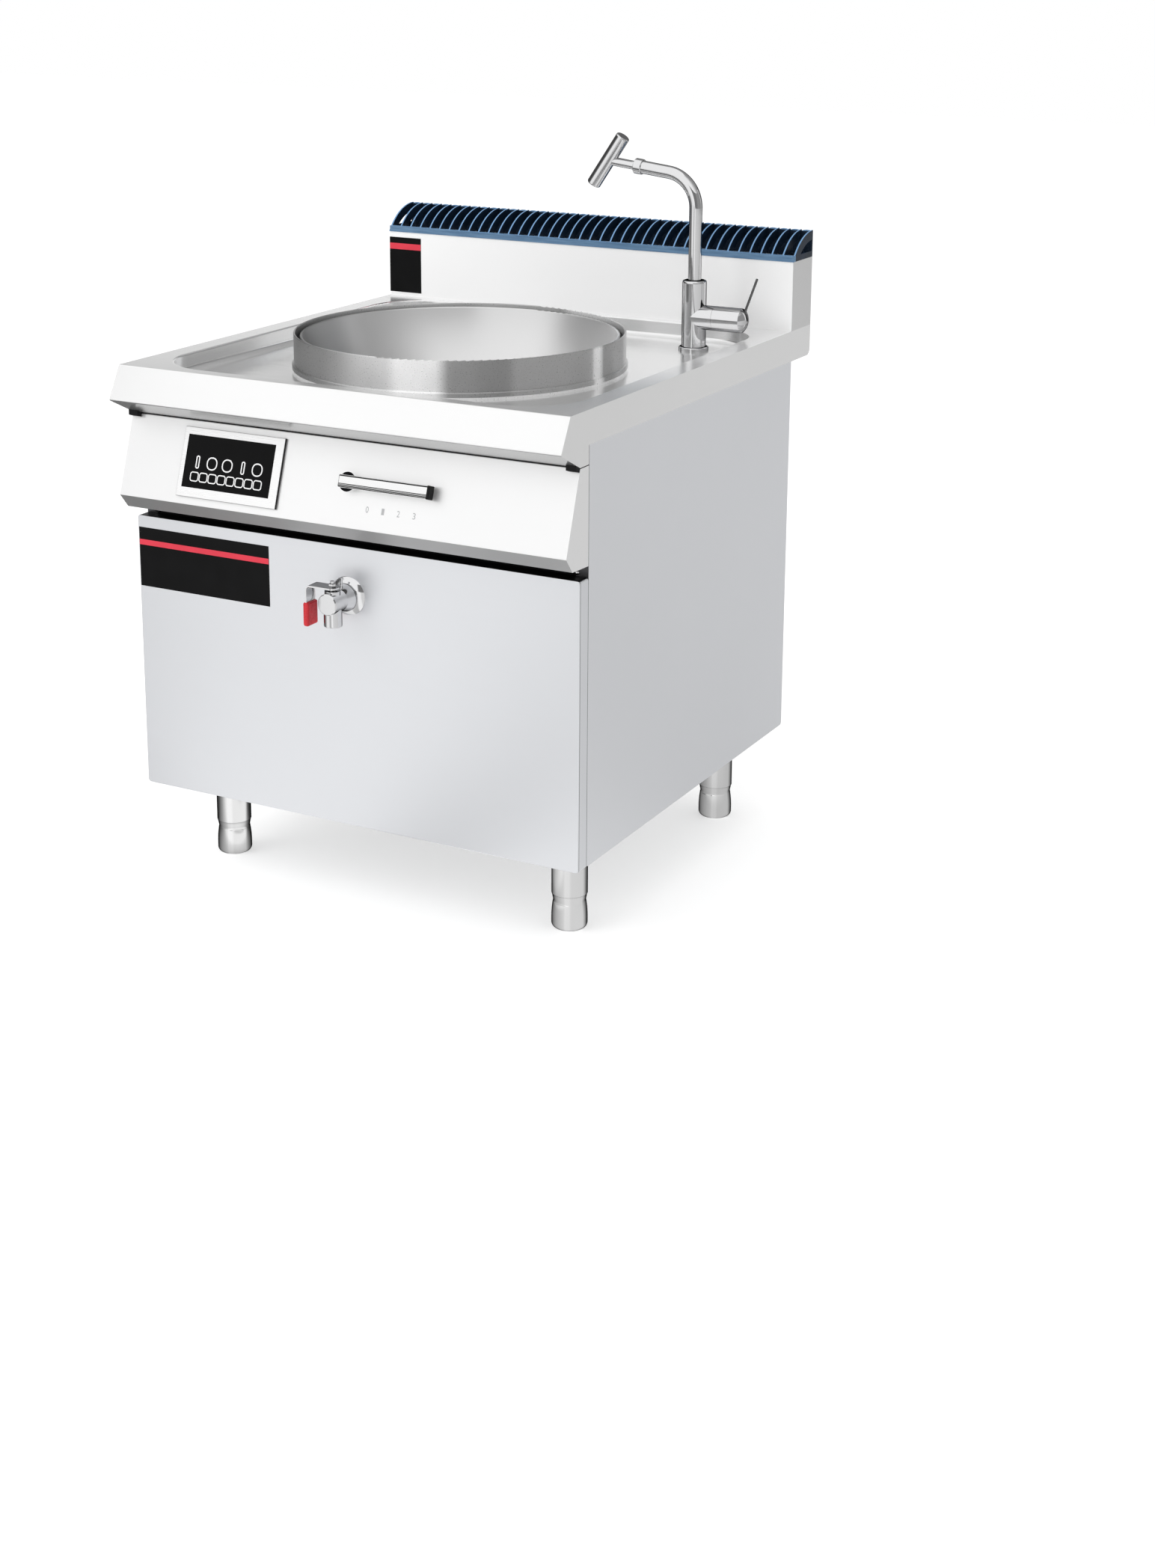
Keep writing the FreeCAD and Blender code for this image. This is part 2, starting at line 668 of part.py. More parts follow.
def backsplash():
    solid = box(-HALF, HALF, SPLASH_FRONT, TOP_BACK, RIM_HEIGHT, SPLASH_TOP)
    corners = [e for e in solid.Edges if near(e.BoundBox.ZLength, SPLASH_HEIGHT)
               and near(e.BoundBox.YMin, SPLASH_FRONT)]
    solid = solid.makeFillet(FOLD_RADIUS, corners)
    inner = HALF - SHEET
    solid = solid.cut(box(-inner, inner, SPLASH_FRONT + SHEET, TOP_BACK - SHEET,
                          RIM_HEIGHT + SHEET, SPLASH_TOP + SHEET))
    return solid.cut(duct_hole(RIM_HEIGHT - SHEET, RIM_HEIGHT + 2 * SHEET))


def grille_arc(radius):
    """The (y, z) start, middle and end of a fin's edge: a quarter-round that ends level at the back."""
    centre = (TOP_BACK, GRILLE_TOP - GRILLE_RADIUS)
    low = math.asin((SPLASH_TOP - centre[1]) / radius)
    points = []
    for angle in (low, (low + math.pi / 2) / 2, math.pi / 2):
        points.append((centre[0] - radius * math.cos(angle), centre[1] + radius * math.sin(angle)))
    return points


def fin(x):
    """One curved louvre, FIN_DEPTH deep, standing across the grille at that x."""
    outer = grille_arc(GRILLE_RADIUS)
    inner = grille_arc(GRILLE_RADIUS - FIN_DEPTH)
    steps = [outer[0], (outer[1], outer[2]), inner[2], (inner[1], inner[0])]
    return side_face(steps, x).extrude(V(FIN_THICKNESS, 0, 0))


def fin_places():
    pitch = (WIDTH - FIN_THICKNESS) / (GRILLE_FINS - 1)
    return [-HALF + pitch * i for i in range(GRILLE_FINS)]


def scalloped_wall():
    """The grille's rear wall, whose top edge bows up between each fin and the next."""
    notch = GRILLE_TOP - SCALLOP
    steps = [(-HALF, SPLASH_TOP), (HALF, SPLASH_TOP), (HALF, notch)]
    stops = [x + FIN_THICKNESS / 2 for x in fin_places()]
    stops[0] = -HALF
    stops[-1] = HALF
    for right, left in zip(reversed(stops), reversed(stops[:-1])):
        steps.append((((left + right) / 2, GRILLE_TOP), (left, notch)))
    face = Part.Face(closed_wire(steps, lambda x, z: V(x, TOP_BACK - GRILLE_WALL, z)))
    return face.extrude(V(0, GRILLE_WALL, 0))


def vent_grille():
    """Curved louvres between a front lip and a scalloped rear wall, all on a rectangular foot frame."""
    front = grille_arc(GRILLE_RADIUS)[0][0]
    lip = box(-HALF, HALF, front, front + GRILLE_LIP_DEPTH, SPLASH_TOP, SPLASH_TOP + GRILLE_LIP_HEIGHT)
    corners = [e for e in lip.Edges if near(e.BoundBox.ZLength, GRILLE_LIP_HEIGHT)
               and near(e.BoundBox.YMin, front)]
    lip = lip.makeFillet(LIP_CORNER, corners)
    ends = [box(x, x + FIN_THICKNESS, front + GRILLE_LIP_DEPTH - 1, TOP_BACK - GRILLE_WALL + 1,
                SPLASH_TOP, SPLASH_TOP + GRILLE_LIP_HEIGHT) for x in (-HALF, HALF - FIN_THICKNESS)]
    fins = [fin(x) for x in fin_places()]
    return lip.multiFuse(fins + ends + [scalloped_wall()]).removeSplitter()


# Cabinet

def side_panel(side):
    """A folded side sheet: flat outside, with flanges turned in along its front and back."""
    top = BAND_BOTTOM
    outer = box(HALF - SHEET, HALF, 0, CABINET_DEPTH, LEG_HEIGHT, top)
    corners = [e for e in outer.Edges if near(e.BoundBox.XLength, SHEET) and e.BoundBox.ZMax < top - 1]
    outer = outer.makeFillet(FRONT_CORNER, corners)
    flange_x = HALF - SHEET - PANEL_FLANGE
    base = LEG_HEIGHT + FRONT_CORNER
    front = box(flange_x, HALF - SHEET, 0, SHEET, base, top)
    solid = outer.fuse(front).removeSplitter()
    if side < 0:
        solid = solid.mirror(ORIGIN, X_AXIS)
    return solid


def back_panel():
    """The rear sheet with air slots behind the fan and holes for the cable gland and water inlet."""
    half = HALF - SHEET
    solid = box(-half, half, BACK_INNER, CABINET_DEPTH, BASE_TOP, BAND_BOTTOM)
    pitch = FAN_SIZE / SLOTS
    for i in range(SLOTS):
        z = FAN_Z + pitch * (i - (SLOTS - 1) / 2)
        slot = box(FAN_X - SLOT_LENGTH / 2, FAN_X + SLOT_LENGTH / 2, BACK_INNER - 1, CABINET_DEPTH + 1,
                   z - SLOT_WIDTH / 2, z + SLOT_WIDTH / 2)
        long_edges = [e for e in slot.Edges if near(e.BoundBox.YLength, SHEET + 2)]
        solid = solid.cut(slot.makeFillet(SLOT_WIDTH / 2 - 0.01, long_edges))
    solid = solid.cut(rod(GLAND_THREAD + CLEAR, V(TERMINAL_X, BACK_INNER - 1, GLAND_Z),
                          V(TERMINAL_X, CABINET_DEPTH + 1, GLAND_Z)))
    return solid.cut(rod(INLET_RADIUS + CLEAR, V(TAP_X, BACK_INNER - 1, INLET_Z),
                         V(TAP_X, CABINET_DEPTH + 1, INLET_Z)))


def base_panel():
    """The floor sheet, with a hole over each leg for its bolt."""
    half = HALF - SHEET
    solid = box(-half, half, SHEET, CABINET_DEPTH, LEG_HEIGHT, BASE_TOP)
    for x, y in LEG_PLACES.values():
        solid = solid.cut(upright(BOLT_RADIUS + CLEAR, LEG_HEIGHT - 1, BASE_TOP + 1, x, y))
    return solid


def angle_bar(start, end, first, second):
    """A bar of L section from start to end, with its two walls lying along first and second."""
    run = end - start
    corners = [ORIGIN, first * ANGLE, first * ANGLE + second * ANGLE_WALL,
               first * ANGLE_WALL + second * ANGLE_WALL, first * ANGLE_WALL + second * ANGLE,
               second * ANGLE, ORIGIN]
    wire = Part.makePolygon([start + c for c in corners])
    return Part.Face(wire).extrude(run)


def cabinet_frame():
    """Four corner posts with rails along and across, all of angle section and welded together."""
    inner_x = HALF - SHEET
    front = SHEET
    back = BACK_INNER
    top = DECK_UNDER
    bars = []
    for side in (-1, 1):
        x = side * inner_x
        in_x = V(-side, 0, 0)
        bars.append(angle_bar(V(x, front, BASE_TOP), V(x, front, BAND_BOTTOM), in_x, Y_AXIS))
        bars.append(angle_bar(V(x, back, BASE_TOP), V(x, back, BAND_BOTTOM), in_x, Y_AXIS * -1))
        for z in (BASE_TOP, BAND_BOTTOM - ANGLE):
            bars.append(angle_bar(V(x, front, z), V(x, back, z), in_x, Z_AXIS))
    half_x = inner_x - ANGLE_WALL
    for y, in_y in ((front, Y_AXIS), (back, Y_AXIS * -1)):
        bars.append(angle_bar(V(-inner_x, y, BASE_TOP), V(inner_x, y, BASE_TOP), in_y, Z_AXIS))
        bars.append(angle_bar(V(-half_x, y, top), V(half_x, y, top), in_y, Z_AXIS * -1))
    middle = FRONT_TOP_Z - ANGLE / 2
    bars.append(angle_bar(V(-inner_x, front, middle), V(inner_x, front, middle), Y_AXIS, Z_AXIS))
    frame = bars[0].multiFuse(bars[1:])
    for x, y in LEG_PLACES.values():
        frame = frame.cut(upright(BOLT_NUT_FLATS, BASE_TOP, BASE_TOP + ANGLE, x, y))
    return frame.removeSplitter()


def lower_front_panel():
    """The fixed front pan: a folded sheet, open behind, with a hole for the drain."""
    solid = box(-HALF, HALF, -FRONT_DEPTH, 0, FRONT_BOTTOM_Z, FRONT_TOP_Z)
    corners = [e for e in solid.Edges if near(e.BoundBox.YLength, FRONT_DEPTH)]
    solid = solid.makeFillet(FRONT_CORNER, corners)
    face_edges = edges_where(solid, lambda p: near(p.y, -FRONT_DEPTH))
    solid = solid.makeFillet(FOLD_RADIUS / 2, face_edges)
    hollow = box(-HALF + SHEET, HALF - SHEET, -FRONT_DEPTH + SHEET, SHEET,
                 FRONT_BOTTOM_Z + SHEET, FRONT_TOP_Z - SHEET)
    inside = [e for e in hollow.Edges if near(e.BoundBox.YLength, FRONT_DEPTH)]
    hollow = hollow.makeFillet(FRONT_CORNER - SHEET, inside)
    hole = rod(PIPE_RADIUS + HOLE_CLEARANCE, V(0, -FRONT_DEPTH - 1, VALVE_HEIGHT), V(0, 0, VALVE_HEIGHT))
    return solid.cut(hollow).cut(hole)


def panel_screws():
    """Pan-head screws in the side panels' front flanges, seen in the gap between the two front panels."""
    z = FRONT_TOP_Z + SCREW_RISE
    edge = SCREW_HEAD * 0.4
    head = lathe([(0, 0), (SCREW_HEAD_RADIUS, 0), (SCREW_HEAD_RADIUS, edge),
                  dome(SCREW_HEAD_RADIUS, edge, SCREW_HEAD - edge)])
    screws = []
    for x in (-SCREW_X, SCREW_X):
        screws.append(forward(head, x, 0, z))
    return Part.makeCompound(screws)


def gasket():
    """The black strip between the worktop's return and the control panel's top."""
    return box(-HALF + CLEAR, HALF - CLEAR, -PANEL_TOP_REACH + CLEAR, -CLEAR, PANEL_TOP_Z, WEDGE_BOTTOM)


def panel_bumpers():
    """Rubber blocks at both ends of the control panel's top edge, under the worktop's return."""
    slope = (BAND_BOTTOM - WEDGE_BOTTOM) / (LIP_REACH - PANEL_TOP_REACH)
    back = -PANEL_TOP_REACH - CLEAR
    front = back - BUMPER_REACH
    low_z = PANEL_TOP_Z - BUMPER_DROP

    def return_z(y):
        return WEDGE_BOTTOM + (-PANEL_TOP_REACH - y) * slope - CLEAR / 2
    steps = [(back, PANEL_TOP_Z), (back, return_z(back)), (front, return_z(front)),
             (front, PANEL_TOP_Z - BUMPER_DROP / 3), (panel_y(low_z) - CLEAR / 2, low_z)]
    block = side_face(steps, 0).extrude(V(BUMPER_WIDTH, 0, 0))
    return Part.makeCompound([moved(block, -HALF + CLEAR), moved(block, HALF - BUMPER_WIDTH - CLEAR)])


def control_panel():
    """A folded box with a face that leans out to its nose, then turns back under a chamfer."""
    steps = [(0, PANEL_TOP_Z), (-PANEL_TOP_REACH, PANEL_TOP_Z), (-PANEL_NOSE_REACH, PANEL_NOSE_Z),
             (-PANEL_CHAMFER_REACH, PANEL_CHAMFER_Z), (0, PANEL_FOOT_Z)]
    face = side_face(steps, -HALF)
    solid = face.extrude(V(WIDTH, 0, 0))
    folds = edges_where(solid, lambda p: near(p.y, -PANEL_NOSE_REACH))
    folds += edges_where(solid, lambda p: near(p.y, -PANEL_CHAMFER_REACH))
    folds += edges_where(solid, lambda p: near(p.y, -PANEL_TOP_REACH))
    solid = solid.makeFillet(FOLD_RADIUS / 2, folds)
    hollow = face.makeOffset2D(-SHEET).translated(V(SHEET, 0, 0)).extrude(V(WIDTH - 2 * SHEET, 0, 0))
    mouth = box(-HALF + SHEET, HALF - SHEET, -2 * SHEET, SHEET, PANEL_FOOT_Z + SHEET, PANEL_TOP_Z - SHEET)
    window = centred_plate(WINDOW_WIDTH - 2 * GLASS_LEDGE, WINDOW_LENGTH - 2 * GLASS_LEDGE,
                           -2 * SHEET, SHEET, WINDOW_X, WINDOW_RISE)
    solid = solid.cut(hollow).cut(mouth)
    solid = solid.cut(on_panel(window, BEZEL_X, PANEL_TOP_Z - BEZEL_DROP))
    hole = upright(SHAFT_RADIUS + HOLE_CLEARANCE, -2 * SHEET, SHEET)
    return solid.cut(on_panel(hole, LEVER_X, LEVER_Z))


def display_bezel():
    plate = centred_plate(BEZEL_WIDTH, BEZEL_LENGTH, 0, BEZEL_THICKNESS)
    plate = plate.makeFillet(1.0, edges_where(plate, lambda p: near(p.z, BEZEL_THICKNESS)))
    window = centred_plate(WINDOW_WIDTH, WINDOW_LENGTH, -1, BEZEL_THICKNESS + 1, WINDOW_X, WINDOW_RISE)
    return on_panel(plate.cut(window), BEZEL_X, PANEL_TOP_Z - BEZEL_DROP)


def display_glass():
    gap = CLEAR / 2
    pane = centred_plate(WINDOW_WIDTH - 2 * gap, WINDOW_LENGTH - 2 * gap, 0, GLASS_THICKNESS,
                         WINDOW_X, WINDOW_RISE)
    return on_panel(pane, BEZEL_X, PANEL_TOP_Z - BEZEL_DROP)


def display_board():
    board = centred_plate(BEZEL_WIDTH - 2 * BOARD_MARGIN, BEZEL_LENGTH - 2 * BOARD_MARGIN,
                          -SHEET - BOARD_THICKNESS, -SHEET)
    return on_panel(board, BEZEL_X, PANEL_TOP_Z - BEZEL_DROP)


def power_lever():
    """A round hub with a straight bar to the right, on the control panel's face."""
    hub = upright(LEVER_HUB_RADIUS, CLEAR, LEVER_HUB_HEIGHT)
    bar = box(-LEVER_TAIL, LEVER_LENGTH, -LEVER_BAR_WIDTH / 2, LEVER_BAR_WIDTH / 2,
              LEVER_BAR_BASE, LEVER_BAR_TOP)
    long_edges = [e for e in bar.Edges if near(e.BoundBox.XLength, LEVER_LENGTH + LEVER_TAIL)]
    left_edges = edges_where(bar, lambda p: near(p.x, -LEVER_TAIL))
    bar = bar.makeFillet(2.5, long_edges + left_edges)
    solid = bar.fuse(hub).removeSplitter()
    solid = solid.cut(upright(SHAFT_RADIUS, -1, LEVER_HUB_HEIGHT - 2))
    return on_panel(solid, LEVER_X, LEVER_Z)


def lever_shaft():
    shaft = upright(SHAFT_RADIUS, -SHAFT_DEPTH, LEVER_HUB_HEIGHT - 2)
    return on_panel(shaft, LEVER_X, LEVER_Z)


def rotary_switch():
    """The switch behind the panel that the lever's shaft turns in."""
    body = upright(SWITCH_RADIUS, -SHEET - SWITCH_DEPTH, -SHEET)
    body = body.makeFillet(2.0, edges_where(body, lambda p: near(p.z, -SHEET - SWITCH_DEPTH)))
    body = body.cut(upright(SHAFT_RADIUS + RUNNING, -SHAFT_DEPTH - CLEAR, 0))
    return on_panel(body, LEVER_X, LEVER_Z)


# Drain and its valve

def drain_fitting():
    """A flanged neck under the wok's hole, with a ledge for the strainer."""
    flange_z = DRAIN_TOP_Z - DRAIN_FLANGE_DROP
    neck_z = DRAIN_TOP_Z - DRAIN_NECK_DROP
    top = DRAIN_TOP_Z + 6
    bore = PIPE_RADIUS - PIPE_WALL
    seat = DRAIN_HOLE_RADIUS - CLEAR
    seat_z = sphere_height(WOK_SPHERE, DRAIN_HOLE_RADIUS) - STRAINER_THICKNESS
    steps = [(bore, neck_z), (PIPE_RADIUS + 3, neck_z), (PIPE_RADIUS + 3, flange_z),
             (DRAIN_FLANGE_RADIUS, flange_z + 4), (DRAIN_FLANGE_RADIUS, top), (seat, top),
             (seat, seat_z), (seat - STRAINER_LEDGE, seat_z), (seat - STRAINER_LEDGE, flange_z),
             (bore, flange_z - 4)]
    keep_out = Part.makeSphere(WOK_OUTER + SEAT_GAP / 3, V(0, 0, WOK_CENTRE_Z))
    return moved(lathe(steps).cut(keep_out), 0, WOK_Y)


def drain_strainer():
    """A perforated disc that lies in the wok's drain hole."""
    radius = DRAIN_HOLE_RADIUS - 2 * CLEAR
    top = sphere_height(WOK_SPHERE, DRAIN_HOLE_RADIUS)
    disc = upright(radius, top - STRAINER_THICKNESS, top)
    holes = [upright(STRAINER_HOLE_RADIUS, top - STRAINER_THICKNESS - 1, top + 1)]
    for i in range(STRAINER_HOLES):
        spot = turned(moved(holes[0], radius * 0.6), Z_AXIS, 360 / STRAINER_HOLES * i)
        holes.append(spot)
    return moved(disc.cut(Part.makeCompound(holes)), 0, WOK_Y)


def bent_pipe(radius, top, turn_z, bend, end_y, x, y):
    """A solid run down from top, a quarter bend and a level run to end_y."""
    way = 1 if end_y > y else -1
    centre = V(x, y + way * bend, turn_z + bend)
    down = upright(radius, turn_z + bend, top, x, y)
    circle = Part.Face(Part.Wire(Part.makeCircle(radius, V(x, y, turn_z + bend), Z_AXIS)))
    elbow = circle.revolve(centre, X_AXIS, 90 * way)
    level = rod(radius, V(x, y + way * bend, turn_z), V(x, end_y, turn_z))
    return down.fuse([elbow, level])


def drain_pipe():
    """The pipe from the drain fitting down and forward to the valve."""
    top = DRAIN_TOP_Z - DRAIN_NECK_DROP
    outer = bent_pipe(PIPE_RADIUS, top, VALVE_HEIGHT, PIPE_BEND, VALVE_Y, 0, WOK_Y)
    inner = bent_pipe(PIPE_RADIUS - PIPE_WALL, top, VALVE_HEIGHT, PIPE_BEND, VALVE_Y, 0, WOK_Y)
    return outer.cut(inner).removeSplitter()


def valve_rosette():
    """A domed cover plate round the valve's neck."""
    hole = PIPE_RADIUS + CLEAR
    middle = (ROSETTE_RADIUS * 0.8, ROSETTE_DOME * 0.62)
    steps = [(hole, 0), (ROSETTE_RADIUS, 0), (ROSETTE_RADIUS, ROSETTE_RIM), (middle, (hole, ROSETTE_DOME))]
    return forward(lathe(steps), 0, VALVE_Y, VALVE_HEIGHT)


def valve_body():
    """An angle valve's body: neck, bell, barrel, boss on top, outlet below and a stop pin."""
    front = VALVE_LENGTH - VALVE_CAP
    steps = [(0, 0), (PIPE_RADIUS, 0), (PIPE_RADIUS, BELL_START), (BELL_RADIUS, BELL_START),
             (BELL_RADIUS, BELL_START + BELL_RIM), (VALVE_RADIUS, BELL_END), (VALVE_RADIUS, front),
             (0, front)]
    solid = forward(lathe(steps), 0, VALVE_Y, VALVE_HEIGHT)
    boss = upright(BOSS_RADIUS, VALVE_HEIGHT, BOSS_TOP_Z, 0, STEM_Y)
    outlet = upright(OUTLET_RADIUS, VALVE_HEIGHT - OUTLET_DROP, VALVE_HEIGHT, 0, STEM_Y)
    outlet = outlet.makeFillet(1.5, edges_where(outlet, lambda p: near(p.z, VALVE_HEIGHT - OUTLET_DROP)))
    pin_y = VALVE_Y - STOP_PIN_REACH
    pin = upright(STOP_PIN_RADIUS, VALVE_HEIGHT + PIPE_RADIUS, VALVE_HEIGHT + STOP_PIN_TOP, 0, pin_y)
    solid = solid.fuse([boss, outlet, pin]).removeSplitter()
    centre = V(0, STEM_Y, VALVE_HEIGHT)
    solid = solid.cut(Part.makeSphere(BALL_RADIUS + CLEAR, centre))
    solid = solid.cut(rod(VALVE_BORE, V(0, VALVE_Y, VALVE_HEIGHT), centre))
    outlet_z = VALVE_HEIGHT - OUTLET_DROP
    solid = solid.cut(upright(OUTLET_BORE, outlet_z, outlet_z + OUTLET_BORE_DEPTH, 0, STEM_Y))
    solid = solid.cut(upright(BALL_PORT, outlet_z, VALVE_HEIGHT, 0, STEM_Y))
    return solid.cut(upright(STEM_RADIUS + RUNNING, VALVE_HEIGHT, BOSS_TOP_Z, 0, STEM_Y))


def valve_cap():
    """The slightly domed plug that closes the front of the valve."""
    radius = VALVE_RADIUS - 0.5
    back = VALVE_LENGTH - VALVE_CAP
    edge = VALVE_LENGTH - VALVE_CAP_DOME
    steps = [(0, back), (radius, back), (radius, edge - 1), (radius - 1, edge),
             dome(radius - 1, edge, VALVE_CAP_DOME)]
    return forward(lathe(steps), 0, VALVE_Y, VALVE_HEIGHT)


def valve_ball():
    """The ball with an elbow port, and the stem that turns it, with a shoulder under the lever."""
    centre = V(0, STEM_Y, VALVE_HEIGHT)
    ball = Part.makeSphere(BALL_RADIUS, centre)
    ball = ball.cut(rod(BALL_PORT, centre, centre + V(BALL_RADIUS + 1, 0, 0)))
    ball = ball.cut(rod(BALL_PORT, centre, centre - V(0, 0, BALL_RADIUS + 1)))
    ball = ball.cut(Part.makeSphere(BALL_PORT, centre))
    stem = upright(STEM_RADIUS, VALVE_HEIGHT + BALL_RADIUS - 2, VALVE_HEIGHT + STEM_TOP, 0, STEM_Y)
    shoulder = upright(STEM_SHOULDER_RADIUS, BOSS_TOP_Z + CLEAR, STRIP_Z, 0, STEM_Y)
    return ball.fuse([stem, shoulder]).removeSplitter()


def valve_lever():
    """A steel strip clamped on the stem, bent down at its end into the grip."""
    top = STRIP_Z + VALVE_LEVER_SHEET
    outer_x = -VALVE_LEVER_REACH - VALVE_LEVER_SHEET / 2
    inner_x = outer_x + VALVE_LEVER_SHEET
    low = STRIP_Z - VALVE_LEVER_DROP
    bend = VALVE_LEVER_BEND
    inner_bend = bend - VALVE_LEVER_SHEET
    slant = bend * (1 - math.sqrt(0.5))
    inner_slant = inner_bend * (1 - math.sqrt(0.5))
    steps = [(VALVE_LEVER_TAIL, STRIP_Z), (VALVE_LEVER_TAIL, top), (outer_x + bend, top),
             ((outer_x + slant, top - slant), (outer_x, top - bend)), (outer_x, low), (inner_x, low),
             (inner_x, STRIP_Z - inner_bend),
             ((inner_x + inner_slant, STRIP_Z - inner_slant), (inner_x + inner_bend, STRIP_Z))]
    face = Part.Face(closed_wire(steps, lambda x, z: V(x, STEM_Y - VALVE_LEVER_WIDTH / 2, z)))
    strip = face.extrude(V(0, VALVE_LEVER_WIDTH, 0))
    ends = [e for e in strip.Edges if near(e.BoundBox.ZLength, VALVE_LEVER_SHEET)
            and near(e.BoundBox.XMax, VALVE_LEVER_TAIL)]
    strip = strip.makeFillet(VALVE_LEVER_WIDTH * 0.45, ends)
    return strip.cut(upright(STEM_RADIUS + RUNNING, STRIP_Z - 1, top + 1, 0, STEM_Y))


def valve_grip():
    """The soft sleeve over the lever's hanging end."""
    low = STRIP_Z - VALVE_LEVER_DROP - GRIP_CAP
    x = -VALVE_LEVER_REACH
    sleeve = box(x - GRIP_THICKNESS / 2, x + GRIP_THICKNESS / 2, STEM_Y - GRIP_WIDTH / 2,
                 STEM_Y + GRIP_WIDTH / 2, low, low + GRIP_LENGTH)
    sleeve = sleeve.makeFillet(GRIP_THICKNESS * 0.35, sleeve.Edges)
    half = VALVE_LEVER_SHEET / 2 + RUNNING
    reach = VALVE_LEVER_WIDTH / 2 + RUNNING
    slot = box(x - half, x + half, STEM_Y - reach, STEM_Y + reach, low + GRIP_CAP, low + GRIP_LENGTH)
    return sleeve.cut(slot)


def valve_nut():
    z = STRIP_Z + VALVE_LEVER_SHEET
    nut = moved(hexagon(NUT_FLATS, NUT_HEIGHT), 0, STEM_Y, z)
    return nut.cut(upright(STEM_RADIUS + RUNNING, z - 1, z + NUT_HEIGHT + 1, 0, STEM_Y))


# Tap

def tap_body():
    """The tap's column and its side housing, with a flange on the deck and a shank through it."""
    column = upright(TAP_BODY_RADIUS, DECK_Z, TAP_TOP_Z)
    column = column.makeFillet(TAP_BODY_ROUND, edges_where(column, lambda p: near(p.z, TAP_TOP_Z)))
    flange = upright(TAP_FLANGE_RADIUS, DECK_Z, DECK_Z + TAP_FLANGE)
    flange = flange.makeFillet(2.0, edges_where(flange, lambda p: near(p.z, DECK_Z + TAP_FLANGE)))
    shank = upright(SHANK_RADIUS, DECK_Z - SHANK_LENGTH, DECK_Z)
    housing = rod(TAP_BODY_RADIUS, V(0, 0, MIXER_Z), V(MIXER_REACH, 0, MIXER_Z))
    solid = column.fuse([flange, shank, housing]).removeSplitter()
    solid = solid.cut(upright(SPOUT_RADIUS + RUNNING, TAP_TOP_Z - SPOUT_SOCKET - CLEAR, TAP_TOP_Z))
    bore = rod(SPINDLE_RADIUS + RUNNING, V(MIXER_REACH - SPINDLE_LENGTH - CLEAR, 0, MIXER_Z),
               V(MIXER_REACH + 1, 0, MIXER_Z))
    return moved(solid.cut(bore), TAP_X, TAP_Y)


def tap_locknut():
    low = DECK_UNDER - LOCKNUT_HEIGHT
    nut = upright(LOCKNUT_RADIUS, low, DECK_UNDER, TAP_X, TAP_Y)
    return nut.cut(upright(SHANK_RADIUS + RUNNING, low - 1, DECK_UNDER + 1, TAP_X, TAP_Y))


def arm_direction():
    lean = math.radians(SPOUT_RISE_ANGLE)
    return V(-math.cos(lean), 0, math.sin(lean))


def spout_line(radius, bottom, end):
    """A solid along the spout: straight up from bottom, round the bend and along the arm to end."""
    turn = 90 - SPOUT_RISE_ANGLE
    arm = arm_direction()
    arc_run = SPOUT_BEND * (1 - math.cos(math.radians(turn)))
    arc_rise = SPOUT_BEND * math.sin(math.radians(turn))
    arm_length = (TAP_X - arc_run - SPOUT_END.x) / -arm.x
    arm_start = SPOUT_END - arm * arm_length
    bend_z = arm_start.z - arc_rise
    column = upright(radius, bottom, bend_z, TAP_X, TAP_Y)
    circle = Part.Face(Part.Wire(Part.makeCircle(radius, V(TAP_X, TAP_Y, bend_z), Z_AXIS)))
    elbow = circle.revolve(V(TAP_X - SPOUT_BEND, TAP_Y, bend_z), Y_AXIS, -turn)
    return column.fuse([elbow, rod(radius, arm_start, end)])


def tap_spout():
    """The swivelling tube, its foot in the column and a nut at its end that holds the head's neck."""
    arm = arm_direction()
    bottom = TAP_TOP_Z - SPOUT_SOCKET
    nut_start = SPOUT_END - arm * SPOUT_NUT_LENGTH
    nut = rod(SPOUT_NUT_RADIUS, nut_start, SPOUT_END)
    nut = nut.makeFillet(1.0, [e for e in nut.Edges if isinstance(e.Curve, Part.Circle)])
    solid = spout_line(SPOUT_RADIUS, bottom, SPOUT_END - arm).fuse(nut)
    solid = solid.cut(spout_line(SPOUT_RADIUS - SPOUT_WALL, bottom, nut_start))
    return solid.cut(rod(NECK_STUB_RADIUS + RUNNING, nut_start - arm, SPOUT_END + arm)).removeSplitter()


def tap_head():
    """The tilted spray head on its neck, which turns in the spout's end."""
    arm = arm_direction()
    centre = SPOUT_END + arm * HEAD_REACH
    head = upright(HEAD_RADIUS, -HEAD_LENGTH / 2, HEAD_LENGTH / 2)
    head = head.makeFillet(HEAD_ROUND, [e for e in head.Edges if isinstance(e.Curve, Part.Circle)])
    nozzle = upright(NOZZLE_RADIUS, -HEAD_LENGTH / 2 - 1, -HEAD_LENGTH / 2 + NOZZLE_RECESS)
    head = turned(head.cut(nozzle), Y_AXIS, HEAD_TILT).translated(centre)
    neck = rod(NECK_RADIUS, SPOUT_END + arm * CLEAR, centre)
    stub = rod(NECK_STUB_RADIUS, SPOUT_END - arm * NECK_STUB, SPOUT_END + arm)
    return head.fuse([neck, stub]).removeSplitter()


